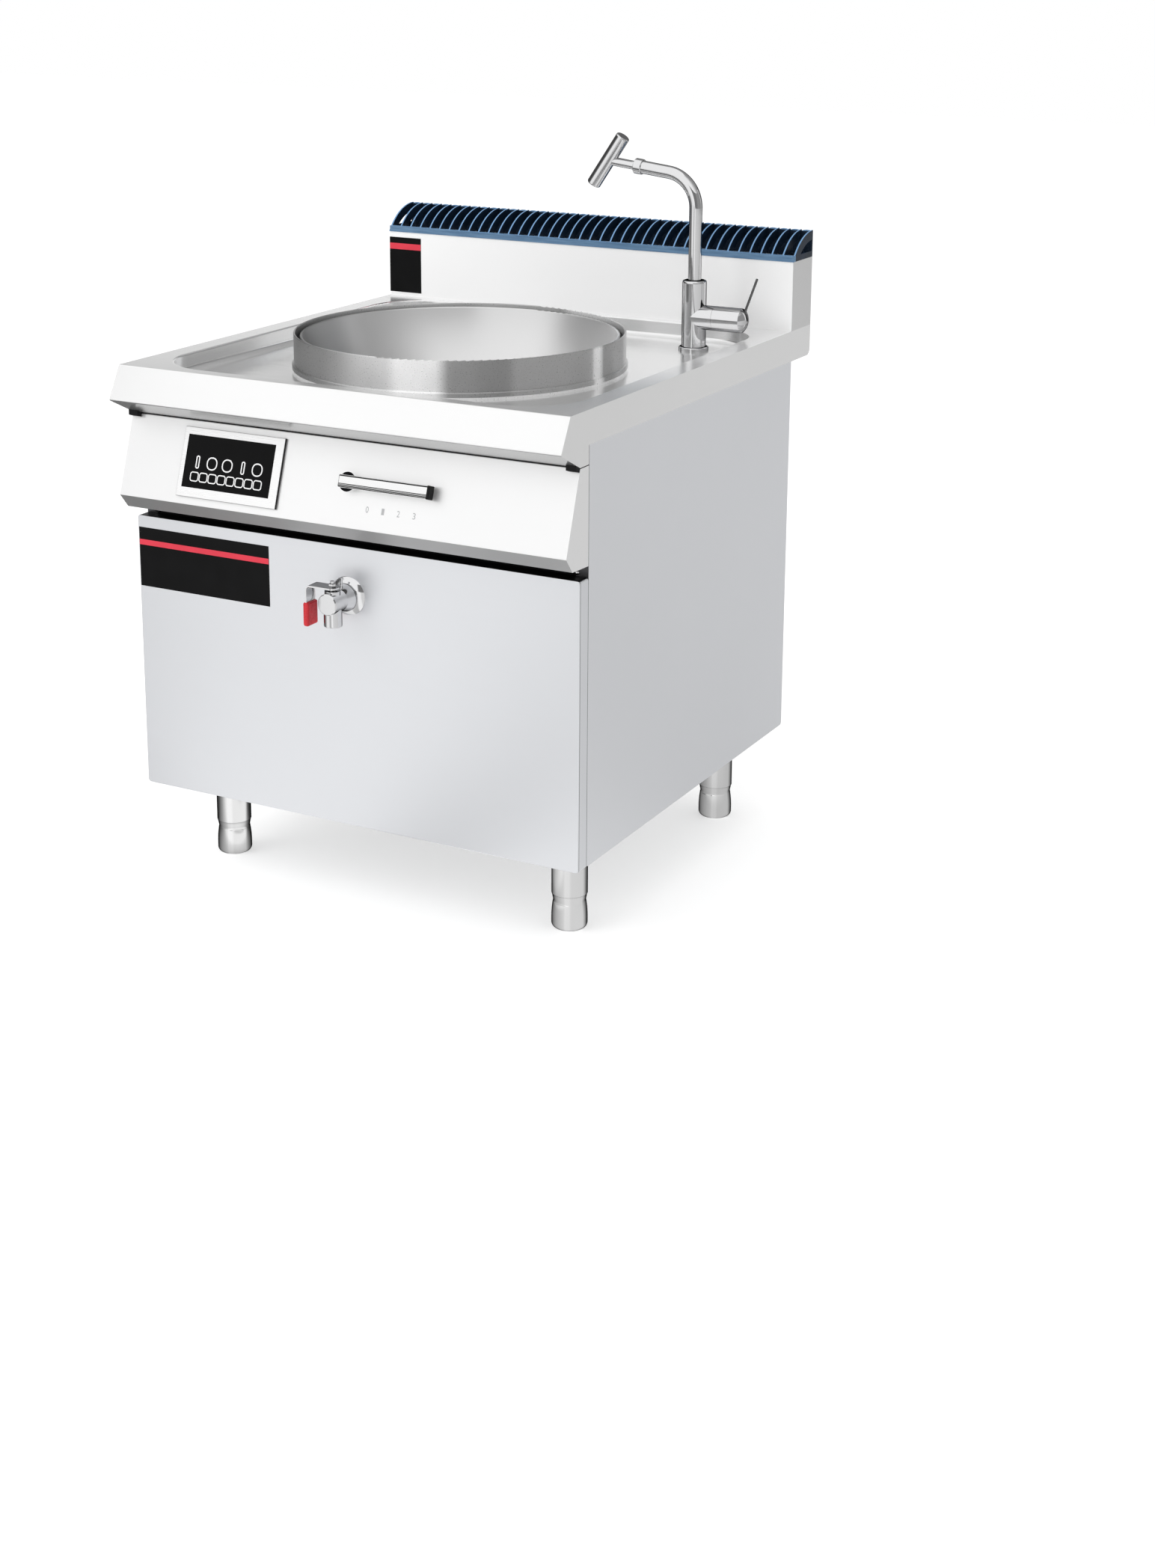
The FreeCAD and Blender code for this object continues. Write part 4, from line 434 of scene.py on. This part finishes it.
def chrome(name, tone=0.82, roughness=0.05):
    """Bright plate with faint smudges, and no added shine where it turns away."""
    mat, tree, shader = new_material(name)
    shader.inputs["Metallic"].default_value = 1.0
    shader.inputs["Specular Tint"].default_value = (0, 0, 0, 1)
    shader.inputs["Base Color"].default_value = (tone, tone, tone * 1.01, 1)
    smudge = noise(tree, EVEN, detail=3.0, frequency=60.0)
    vary_roughness(tree, shader, smudge, roughness * 0.7, roughness * 1.6)
    bump(tree, shader, smudge, strength=0.01, depth=0.0005)
    return mat


def plastic(name, colour, roughness, grain=300.0, strength=0.1, spread=0.2, gloss=0.5):
    """Moulded plastic, rubber or paint: a mottled colour and a fine pebble."""
    mat, tree, shader = new_material(name)
    shader.inputs["Specular IOR Level"].default_value = gloss
    cloud = noise(tree, EVEN, detail=2.0, frequency=30.0)
    lower = tuple(c * (1 - spread) for c in colour)
    upper = tuple(min(1.0, c * (1 + spread)) for c in colour)
    tree.links.new(mottle(tree, cloud, lower, upper), shader.inputs["Base Color"])
    pebble = noise(tree, EVEN, detail=2.0, frequency=grain)
    least = max(0.02, roughness - ROUGHNESS_SPREAD)
    vary_roughness(tree, shader, pebble, least, roughness + ROUGHNESS_SPREAD)
    bump(tree, shader, pebble, strength, depth=0.0003)
    return mat


# Each pair of blues is mottled between its two.
GRILLE_BLUES = ((0.004, 0.011, 0.024), (0.008, 0.020, 0.044))
# A painted highlight along the louvres' front edges.
FIN_HIGHLIGHT_BLUE = (0.17, 0.33, 0.56)
LIP_BLUES = ((0.085, 0.17, 0.29), (0.15, 0.27, 0.42))


def grille_paint(name):
    """Dark blue painted louvres with a painted highlight along their thin front edges, over a paler lip."""
    mat, tree, shader = new_material(name)
    cloud = noise(tree, EVEN, detail=3.0, frequency=40.0)
    colour = mottle(tree, cloud, *GRILLE_BLUES)
    colour = socket_mix(tree, fin_edge_mask(tree), colour, FIN_HIGHLIGHT_BLUE)
    lip = mottle(tree, noise(tree, LIP_STREAKS, detail=3.0), *LIP_BLUES)
    colour = socket_mix(tree, lip_mask(tree), colour, lip)
    tree.links.new(colour, shader.inputs["Base Color"])
    shader.inputs["Specular IOR Level"].default_value = 0.25
    fine = noise(tree, ROUND, detail=2.0)
    vary_roughness(tree, shader, fine, 0.28, 0.40)
    bump(tree, shader, fine, 0.05, FINE_DEPTH)
    return mat


# Painted reflection bands that stand for a round form's polish, as tones by bearing in degrees: -90 looks to
# the front and 0 to the right.
COLLAR_REFLECTION_BANDS = ((-180, 0.40), (-140, 0.15), (-112, 0.38), (-84, 0.72), (-80, 1.0), (-67, 1.0), (-63, 0.42),
                (-44, 0.34), (-41, 0.46), (-10, 0.50), (-8, 1.0), (-5, 1.0), (-3, 0.45), (30, 0.50),
                (60, 0.85), (75, 0.85), (80, 0.45), (130, 0.60), (180, 0.40))
LEG_REFLECTION_BANDS = ((-180, 0.45), (-150, 0.30), (-120, 0.42), (-104, 0.60), (-82, 0.85), (-76, 1.0), (-64, 1.0),
             (-56, 0.88), (-15, 0.90), (-2, 0.45), (22, 0.20), (60, 0.55), (120, 0.80), (180, 0.45))
WOK_REFLECTION_BANDS = ((-180, 0.50), (-155, 0.20), (-110, 0.50), (-60, 0.80), (0, 0.90), (35, 1.0), (75, 0.84),
             (135, 0.80), (165, 0.74), (180, 0.50))
# Painted shade in the gap of the seam at the side panel's front.
SEAM_SHADE_TONE = (0.10, 0.10, 0.105)
SEAM_PAINTED_SHADE = ((seam_mask(SIDE_FRONT, SEAM), SEAM_SHADE_TONE),)
# The door's seam line and its top edge in the gap under the control panel are painted shade.
DOOR_PAINTED_SHADE = ((seam_mask(DOOR_FRONT + DOOR_SEAM_BACK, SEAM), grey(0.16)),
              (facing(UP, SQUARE_ON), grey(0.012)))
# Faces that look down get painted shade on the worktop and on the control panel; the worktop's sunk deck is a
# little darker steel.
WORKTOP_DECK_AND_PAINTED_SHADE = ((deck_mask, grey(0.90)), (facing(DOWN), grey(0.50)))
PANEL_PAINTED_SHADE = ((facing(DOWN), grey(0.42)),)
# The backsplash's right end face gets painted shade.
SPLASH_PAINTED_SHADE = ((facing(RIGHT, SQUARE_ON), grey(0.55)),)
# The bezel's faces that stand square to the panel are near black.
BEZEL_TONES = ((off_panel_mask, grey(0.02)),)
# The lever's hub is black; the lines across its bar are painted reflections of a rounded bar's dark lower
# face.
LEVER_HUB_AND_REFLECTION_LINES = ((hub_mask, BLACK), (bar_line(7.0, 9.0), grey(0.02)), (bar_line(-4.6, -3.2), grey(0.02)),
               (bar_line(-6.0, -4.6), grey(0.25)), (bar_line(-7.8, -6.0), grey(0.05)),
               (bar_line(-12.0, -7.8), grey(0.01)))

MATS = {
    "worktop": steel("worktop_steel", 0.92, 0.20, GRAIN_X, metallic=0.8, patches=WORKTOP_DECK_AND_PAINTED_SHADE),
    "side": steel("side_steel", 0.90, 0.36, GRAIN_Z, metallic=0.85, tint=COOL, patches=SEAM_PAINTED_SHADE),
    "front": steel("front_steel", 0.86, 0.38, GRAIN_X, metallic=0.8, tint=COOL, patches=DOOR_PAINTED_SHADE),
    "panel": steel("panel_steel", 0.92, 0.36, GRAIN_X, metallic=0.7, patches=PANEL_PAINTED_SHADE),
    "back": steel("back_steel", 0.70, 0.38, GRAIN_Z, metallic=0.75),
    "splash": steel("splash_steel", 0.98, 0.34, GRAIN_X, metallic=0.08, patches=SPLASH_PAINTED_SHADE),
    "bezel": steel("bezel_steel", 0.92, 0.30, GRAIN_X, metallic=0.7, patches=BEZEL_TONES),
    # The collar, wok and legs carry painted reflection bands; the collar's bead carries a painted highlight.
    "collar": spun("collar_steel", COLLAR_REFLECTION_BANDS, 0.30, stretch=0.85, metallic=0.6, bead_highlight=True),
    "fitting": steel("fitting_steel", 0.88, 0.15, ROUND, grain_bump=0.004),
    "wok": spun("wok_steel_satin", WOK_REFLECTION_BANDS, 0.38, stretch=0.6, metallic=0.9, grain_bump=0.01),
    "leg": turned_leg("leg_steel"),
    "lever": steel("lever_steel", 0.94, 0.14, GRAIN_X, grain_bump=0.01, patches=LEVER_HUB_AND_REFLECTION_LINES),
    "rod": chrome("dark_rod", tone=0.16, roughness=0.12),
    "chrome": chrome("bright_chrome"),
    "tap": chrome("tap_chrome", tone=0.80, roughness=0.06),
    "black": plastic("black_rubber", (0.006, 0.006, 0.0065), 0.55, gloss=0.2),
    "dark": plastic("dark_paint", (0.006, 0.006, 0.0065), 0.6, gloss=0.1),
    "red": plastic("red_vinyl", (0.60, 0.012, 0.022), 0.28, grain=200.0, strength=0.05),
    "zinc": plastic("zinc_plate", (0.45, 0.46, 0.47), 0.45),
    "copper": steel("copper_metal", 0.7, 0.3, ROUND, tint=(1.0, 0.55, 0.36)),
    "brass": steel("brass_metal", 0.75, 0.28, ROUND, tint=(1.0, 0.78, 0.42)),
    "aluminium": steel("mill_aluminium", 0.75, 0.4, GRAIN_X),
    "wool": plastic("fibre_blanket", (0.75, 0.73, 0.68), 0.9, grain=120.0, strength=0.5),
    "ferrite": plastic("ferrite_bar", (0.03, 0.03, 0.03), 0.5),
    "board": plastic("board_tray", (0.03, 0.12, 0.06), 0.5),
    "grille": grille_paint("grille_paint"),
    "glass": plastic("black_glass", (0.002, 0.002, 0.0022), 0.10, grain=40.0, strength=0.01, gloss=0.10),
    "label": plastic("label_film", (0.003, 0.003, 0.0033), 0.35, grain=400.0, strength=0.02, gloss=0.12),
    "stripe": plastic("label_red", (0.72, 0.045, 0.075), 0.40, grain=400.0, strength=0.02, spread=0.05,
                      gloss=0.2),
    "ink": plastic("display_ink", (0.86, 0.86, 0.86), 0.5, grain=400.0, strength=0.01, spread=0.03),
    "mark": plastic("dial_mark", (0.42, 0.42, 0.43), 0.5, grain=400.0, strength=0.01, spread=0.05),
}

NODE_MATERIALS = {
    "worktop": "worktop", "collar_ring": "collar", "wok_seal": "black", "wok_bowl": "wok",
    "coil_insulation": "wool", "induction_coil": "copper", "coil_carrier": "aluminium",
    "ferrite_bars": "ferrite", "coil_brackets": "zinc", "backsplash": "splash", "vent_grille": "grille",
    "left_side_panel": "side", "right_side_panel": "side", "back_panel": "back", "base_panel": "zinc",
    # The cabinet frame is dark paint, partly painted shade: it keeps the deep gap under the control panel
    # black.
    "cabinet_frame": "dark", "lower_front_panel": "front", "panel_screws": "chrome",
    "worktop_gasket": "dark", "panel_bumpers": "black", "control_panel": "panel",
    "display_bezel": "bezel", "display_glass": "glass", "display_board": "board",
    "power_lever": "lever", "lever_shaft": "chrome", "rotary_switch": "dark", "drain_fitting": "fitting",
    "drain_strainer": "fitting", "drain_pipe": "fitting", "valve_rosette": "chrome", "valve_body": "chrome",
    "valve_cap": "chrome", "valve_ball": "chrome", "valve_lever": "chrome", "valve_grip": "red",
    "valve_nut": "chrome", "tap_body": "tap", "tap_locknut": "brass", "tap_spout": "tap",
    "tap_head": "tap", "tap_handle": "tap", "tap_lever_rod": "rod", "supply_pipe": "copper",
    "water_inlet": "brass", "leg_nuts": "zinc", "power_module": "aluminium", "heat_sink": "aluminium",
    "fan_housing": "dark", "fan_impeller": "dark", "terminal_box": "dark", "cable_gland": "dark",
    "leg_front_left": "leg", "leg_front_right": "leg", "leg_rear_left": "leg", "leg_rear_right": "leg",
    "foot_front_left": "leg", "foot_front_right": "leg", "foot_rear_left": "leg", "foot_rear_right": "leg",
}


def dress_nodes():
    for node, key in NODE_MATERIALS.items():
        slots = NODES[node].material_slots
        if slots:
            for entry in slots:
                entry.material = MATS[key]
        else:
            NODES[node].data.materials.append(MATS[key])


# Pieces: labels, display characters, dial numbers and the lever's end. All their lengths are in millimetres.

# A label is (left, right, bottom, top) on its face, and its stripe is (bottom, top).
LABEL_FILM = 0.5
LABEL_EDGE = 0.1
DOOR_LABEL = (-398.0, -146.5, 484.0, 581.5)
DOOR_STRIPE = (552.5, 561.5)
SPLASH_LABEL = (-399.5, -333.0, 856.5, 957.0)
SPLASH_STRIPE = (935.0, 946.0)
STRIPE_INSET = 0.3
STRIPE_PROUD = 0.1
STRIPE_THICKNESS = 0.2
STRIPE_EDGE = 0.03

# On the control panel, across is from the range's middle and up is from the lever's axis.
INK = 0.15
DIGITS = "10010"
DIGIT_PLACES = (-258.5, -231.4, -202.6, -173.1, -146.3)
DIGIT_WIDTHS = {"0": 20.0, "1": 7.0}
DIGIT_HEIGHT = 20.5
DIGIT_CORNER = 0.45
DIGIT_UP = -1.1
DIGIT_LINE = 2.0
KEYS = 8
KEY_LEFT = -269.5
KEY_PITCH = 17.0
KEY_SIZE = (16.2, 15.4)
KEY_CORNER = 4.5
KEY_LINE = 1.7
KEY_UP = -24.2
MARK_PLACES = (57.9, 85.5, 112.6, 140.0)
MARK_SIZE = (4.75, 9.5)
MARK_UP = -37.0
LEVER_END = (165.0, 169.5)
LEVER_END_SPAN = (-10.4, 10.4)
LEVER_END_OUT = (3.6, 18.6)
LEVER_END_EDGE = 1.2


def new_piece(name, mesh, body, material):
    obj = bpy.data.objects.new(name, mesh)
    bpy.context.scene.collection.objects.link(obj)
    obj.data.materials.append(MATS[material])
    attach(obj, body)


def finished_mesh(name, bm):
    mesh = bpy.data.meshes.new(name)
    bm.to_mesh(mesh)
    bm.free()
    return mesh


def block(name, x, y, z, edge, body, material, axes=None):
    """A box with rounded edges, from its two ends on each axis; axes turns it from its own frame."""
    bm = bmesh.new()
    bmesh.ops.create_cube(bm, size=1.0)
    for v in bm.verts:
        v.co = Vector((start + (c + 0.5) * (end - start)) * MM for c, (start, end) in zip(v.co, (x, y, z)))
    bmesh.ops.bevel(bm, geom=bm.edges, offset=edge * MM, segments=3, affect="EDGES", profile=0.5)
    mesh = finished_mesh(name, bm)
    if axes:
        mesh.transform(axes)
    new_piece(name, mesh, body, material)


def label(name, place, stripe, face_y):
    """A bare black film label with a plain red stripe, on a face that looks forward; face_y is in metres."""
    left, right, bottom, top = place
    back = face_y / MM
    front = back - LABEL_FILM
    block(name, (left, right), (front, back), (bottom, top), LABEL_EDGE, "range", "label")
    across = (left + STRIPE_INSET, right - STRIPE_INSET)
    deep = (front - STRIPE_PROUD, front - STRIPE_PROUD + STRIPE_THICKNESS)
    block(name + "_stripe", across, deep, stripe, STRIPE_EDGE, "range", "stripe")


def make_labels():
    label("door_label", DOOR_LABEL, DOOR_STRIPE, DOOR_FRONT)
    label("splash_label", SPLASH_LABEL, SPLASH_STRIPE, low("backsplash").y)


def make_lever_end():
    block("lever_end_plug", LEVER_END, LEVER_END_SPAN, LEVER_END_OUT, LEVER_END_EDGE, "power_lever", "black",
          panel_axes(0, 0, 0))


def glyph(name, text, place, size, material):
    """One plain character, centred on a place of the control panel and scaled to a width and height."""
    curve = bpy.data.curves.new(name, "FONT")
    curve.body = text
    curve.resolution_u = 6
    obj = bpy.data.objects.new(name, curve)
    bpy.context.scene.collection.objects.link(obj)
    bpy.context.view_layer.update()
    mesh = bpy.data.meshes.new_from_object(obj.evaluated_get(bpy.context.evaluated_depsgraph_get()))
    bpy.data.objects.remove(obj)
    for axis, length in enumerate(size):
        places = [v.co[axis] for v in mesh.vertices]
        middle = (min(places) + max(places)) / 2
        scale = length * MM / (max(places) - min(places))
        for v in mesh.vertices:
            v.co[axis] = (v.co[axis] - middle) * scale
    for v in mesh.vertices:
        v.co.z = 0
    mesh.transform(panel_axes(*place))
    mesh.name = name
    new_piece(name, mesh, "range", material)


def make_marks():
    for i, x in enumerate(MARK_PLACES):
        glyph("mark_%d" % i, str(i), (x, MARK_UP, INK), MARK_SIZE, "mark")


def rounded_outline(width, height, radius, steps=5):
    """The points of a rectangle with round corners, in metres about its middle."""
    points = []
    for side_x, side_y, start in ((1, 1, 0), (-1, 1, 90), (-1, -1, 180), (1, -1, 270)):
        corner = Vector((side_x * (width / 2 - radius), side_y * (height / 2 - radius), 0))
        for i in range(steps + 1):
            angle = math.radians(start + 90 * i / steps)
            points.append((corner + Vector((math.cos(angle), math.sin(angle), 0)) * radius) * MM)
    return points


def outlined(name, x, up, size, radius, line):
    """A character or key of the display: a flat rounded outline, as wide as its line."""
    width, height = size
    axes = panel_axes(x, up, panel_level("display_glass") + INK)
    outer = rounded_outline(width, height, radius)
    inner = rounded_outline(width - 2 * line, height - 2 * line, radius - line)
    bm = bmesh.new()
    rings = [[bm.verts.new(axes @ p) for p in ring] for ring in (outer, inner)]
    count = len(outer)
    for i in range(count):
        j = (i + 1) % count
        bm.faces.new((rings[0][i], rings[0][j], rings[1][j], rings[1][i]))
    bmesh.ops.recalc_face_normals(bm, faces=bm.faces)
    new_piece(name, finished_mesh(name, bm), "range", "ink")


def make_display():
    for i, (digit, x) in enumerate(zip(DIGITS, DIGIT_PLACES)):
        width = DIGIT_WIDTHS[digit]
        outlined("digit_%d" % i, x, DIGIT_UP, (width, DIGIT_HEIGHT), DIGIT_CORNER * width, DIGIT_LINE)
    for i in range(KEYS):
        outlined("key_%d" % i, KEY_LEFT + KEY_PITCH * (i + 0.5), KEY_UP, KEY_SIZE, KEY_CORNER, KEY_LINE)


# Stage, light and camera

FLOOR_REACH = 14.0
FLOOR_TONE = 0.95
SHOWN_WHITE = 1.0
SHOWN_FLOOR_GLOW = 0.52
SHOWN_FLOOR_TONE = 0.70
WORLD_LEVEL = 0.82
CLIP_END = 100
# Each card is turned about the range from a profile of (radius, height) in metres; its bands are of
# (bearing in degrees, tone).
CARD_SEGMENTS = 144
CARD_RADIUS = 2.4
LOW_CARD = ((0.01, 0.003), (CARD_RADIUS, 0.003), (CARD_RADIUS, 0.80))
LOW_TONES = ((-180, 0.16), (-150, 0.18), (-137, 0.50), (-128, 0.90), (-101, 0.92), (-97, 0.55), (-82, 0.50),
             (-78, 1.0), (-66, 1.0), (-60, 0.74), (0, 0.64), (30, 0.54), (45, 0.55), (61, 0.60), (76, 0.60),
             (88, 0.18), (180, 0.16))
WALL_CARD = ((CARD_RADIUS, 0.80), (CARD_RADIUS, 2.10))
WALL_TONES = ((-180, 0.05), (-152, 0.12), (-140, 0.70), (-134, 1.0), (-76, 1.0), (-71, 0.20), (-30, 0.20),
              (-26, 0.30), (36, 0.30), (39, 1.0), (43, 1.0), (47, 0.20), (75, 0.10), (98, 0.34), (140, 0.40),
              (155, 0.10), (180, 0.05))
# The wall's part behind the range goes by height: where it starts, is full, and ends again in degrees, and
# its (height, tone).
BACK_SECTOR = (92, 100, 140, 150)
BACK_HEIGHTS = ((0.80, 1.0), (1.20, 0.96), (1.30, 0.72), (1.40, 0.38), (1.50, 0.22), (2.10, 0.18))
ROOF_CARD = ((CARD_RADIUS, 2.10), (1.0, 3.30))
ROOF_TONES = ((-180, 0.85), (-155, 1.0), (-30, 1.0), (0, 0.60), (30, 0.32), (100, 0.30), (125, 0.40),
              (145, 0.60), (180, 0.85))
# Lamps: place, target and side in metres, power in watts.
LAMPS = {
    "key": ((-2.6, -3.4, 3.6), (0, 0, 0.6), 3.0, 95),
    "top": ((0.4, 0.6, 4.2), (0, 0, 0.8), 3.5, 24),
}


def white_to_the_eye(tree, seen, otherwise):
    """Mixes two closures: seen for camera, glossy and transmission rays, otherwise for the rest."""
    path = tree.nodes.new("ShaderNodeLightPath")
    eye = number_math(tree, "MAXIMUM", path.outputs["Is Camera Ray"], path.outputs["Is Glossy Ray"])
    eye = number_math(tree, "MAXIMUM", eye, path.outputs["Is Transmission Ray"])
    mix = tree.nodes.new("ShaderNodeMixShader")
    tree.links.new(eye, mix.inputs[0])
    tree.links.new(otherwise, mix.inputs[1])
    tree.links.new(seen, mix.inputs[2])
    return mix.outputs[0]


def background(tree, strength):
    node = tree.nodes.new("ShaderNodeBackground")
    node.inputs["Color"].default_value = (1, 1, 1, 1)
    node.inputs["Strength"].default_value = strength
    return node.outputs["Background"]


def set_world():
    world = bpy.data.worlds.new("studio")
    bpy.context.scene.world = world
    world.use_nodes = True
    tree = world.node_tree
    tree.nodes.clear()
    out = tree.nodes.new("ShaderNodeOutputWorld")
    seen = background(tree, SHOWN_WHITE)
    fill = background(tree, WORLD_LEVEL)
    tree.links.new(white_to_the_eye(tree, seen, fill), out.inputs["Surface"])


def stage_mesh(name, verts, polygons):
    mesh = bpy.data.meshes.new(name)
    mesh.from_pydata(verts, [], polygons)
    obj = bpy.data.objects.new(name, mesh)
    bpy.context.scene.collection.objects.link(obj)
    return obj


def make_floor():
    """A pale floor that glows a little to the eye, so that it is near white there and keeps the shadow."""
    r = FLOOR_REACH
    obj = stage_mesh("floor", [(-r, -r, 0), (r, -r, 0), (r, r, 0), (-r, r, 0)], [(0, 1, 2, 3)])
    mat, tree, shader = new_material("floor_paper")
    shader.inputs["Base Color"].default_value = (FLOOR_TONE, FLOOR_TONE, FLOOR_TONE, 1)
    shader.inputs["Roughness"].default_value = 0.9
    glow = tree.nodes.new("ShaderNodeEmission")
    glow.inputs["Strength"].default_value = SHOWN_FLOOR_GLOW
    paper = tree.nodes.new("ShaderNodeBsdfDiffuse")
    paper.inputs["Color"].default_value = (SHOWN_FLOOR_TONE, SHOWN_FLOOR_TONE, SHOWN_FLOOR_TONE, 1)
    seen = tree.nodes.new("ShaderNodeAddShader")
    tree.links.new(glow.outputs[0], seen.inputs[0])
    tree.links.new(paper.outputs[0], seen.inputs[1])
    out = tree.nodes["Material Output"]
    tree.links.new(white_to_the_eye(tree, seen.outputs[0], shader.outputs[0]), out.inputs["Surface"])
    obj.data.materials.append(mat)


def only_reflected(obj):
    """A studio card: metal shows it, and it neither shows by itself nor lights or shades anything."""
    obj.visible_camera = False
    obj.visible_diffuse = False
    obj.visible_transmission = False
    obj.visible_volume_scatter = False
    obj.visible_shadow = False


def by_height(tree, turn, colour):
    """The wall's tones, with the part behind the range by height."""
    start, full, last, end = (share_of_turn(angle) for angle in BACK_SECTOR)
    sector = both(tree, step(tree, turn, start, full), step(tree, turn, end, last))
    foot = BACK_HEIGHTS[0][0]
    top = BACK_HEIGHTS[-1][0]
    height = step(tree, along(tree, "Position", UP), foot, top, "LINEAR")
    stops = [((z - foot) / (top - foot), grey(tone)) for z, tone in BACK_HEIGHTS]
    return socket_mix(tree, sector, colour, ramp(tree, height, stops))


def round_card(name, profile, tones, over=None):
    """A card turned about the range, its tone by bearing; over may change that by more."""
    verts = []
    polygons = []
    count = len(profile)
    for i in range(CARD_SEGMENTS):
        angle = 2 * math.pi * i / CARD_SEGMENTS
        verts += [(radius * math.cos(angle), radius * math.sin(angle), z) for radius, z in profile]
        a = count * i
        b = count * ((i + 1) % CARD_SEGMENTS)
        polygons += [(a + k, a + k + 1, b + k + 1, b + k) for k in range(count - 1)]
    obj = stage_mesh(name, verts, polygons)
    only_reflected(obj)
    mat = bpy.data.materials.new(name + "_paper")
    mat.use_nodes = True
    tree = mat.node_tree
    tree.nodes.clear()
    turn = bearing(tree, object_coords(tree))
    colour = tone_by_bearing(tree, turn, tones)
    if over:
        colour = over(tree, turn, colour)
    glow = tree.nodes.new("ShaderNodeEmission")
    out = tree.nodes.new("ShaderNodeOutputMaterial")
    tree.links.new(colour, glow.inputs["Color"])
    tree.links.new(glow.outputs[0], out.inputs["Surface"])
    obj.data.materials.append(mat)


def make_cards():
    round_card("reflected_low", LOW_CARD, LOW_TONES)
    round_card("reflected_roof", ROOF_CARD, ROOF_TONES)
    round_card("reflected_wall", WALL_CARD, WALL_TONES, by_height)


def set_lights():
    for name, (place, target, side, power) in LAMPS.items():
        data = bpy.data.lights.new(name, "AREA")
        data.shape = "SQUARE"
        data.size = side
        data.energy = power
        obj = bpy.data.objects.new(name, data)
        bpy.context.scene.collection.objects.link(obj)
        obj.location = place
        obj.rotation_euler = (Vector(target) - Vector(place)).to_track_quat("-Z", "Y").to_euler()
        obj.visible_glossy = False


def set_camera():
    data = bpy.data.cameras.new("photo_camera")
    obj = bpy.data.objects.new("photo_camera", data)
    bpy.context.scene.collection.objects.link(obj)
    az = math.radians(CAMERA_AZIMUTH)
    el = math.radians(CAMERA_ELEVATION)
    forward = Vector((-math.sin(az) * math.cos(el), math.cos(az) * math.cos(el), -math.sin(el)))
    turn = forward.to_track_quat("-Z", "Y").to_matrix()
    roll = Matrix.Rotation(math.radians(CAMERA_ROLL), 3, "Z")
    obj.matrix_world = Matrix.Translation(CAMERA_PLACE) @ (turn @ roll).to_4x4()
    data.sensor_fit = "HORIZONTAL"
    data.sensor_width = SENSOR
    data.lens = FOCAL_PIXELS / PHOTO_W * SENSOR
    data.shift_x = (PHOTO_W / 2 - PRINCIPAL[0]) / PHOTO_W
    data.shift_y = (PRINCIPAL[1] - PHOTO_H / 2) / PHOTO_W
    data.clip_end = CLIP_END
    bpy.context.scene.camera = obj


dress_nodes()
make_display()
make_marks()
make_lever_end()
make_labels()
set_world()
make_floor()
make_cards()
set_lights()
set_camera()

bpy.context.scene.view_settings.view_transform = "Standard"
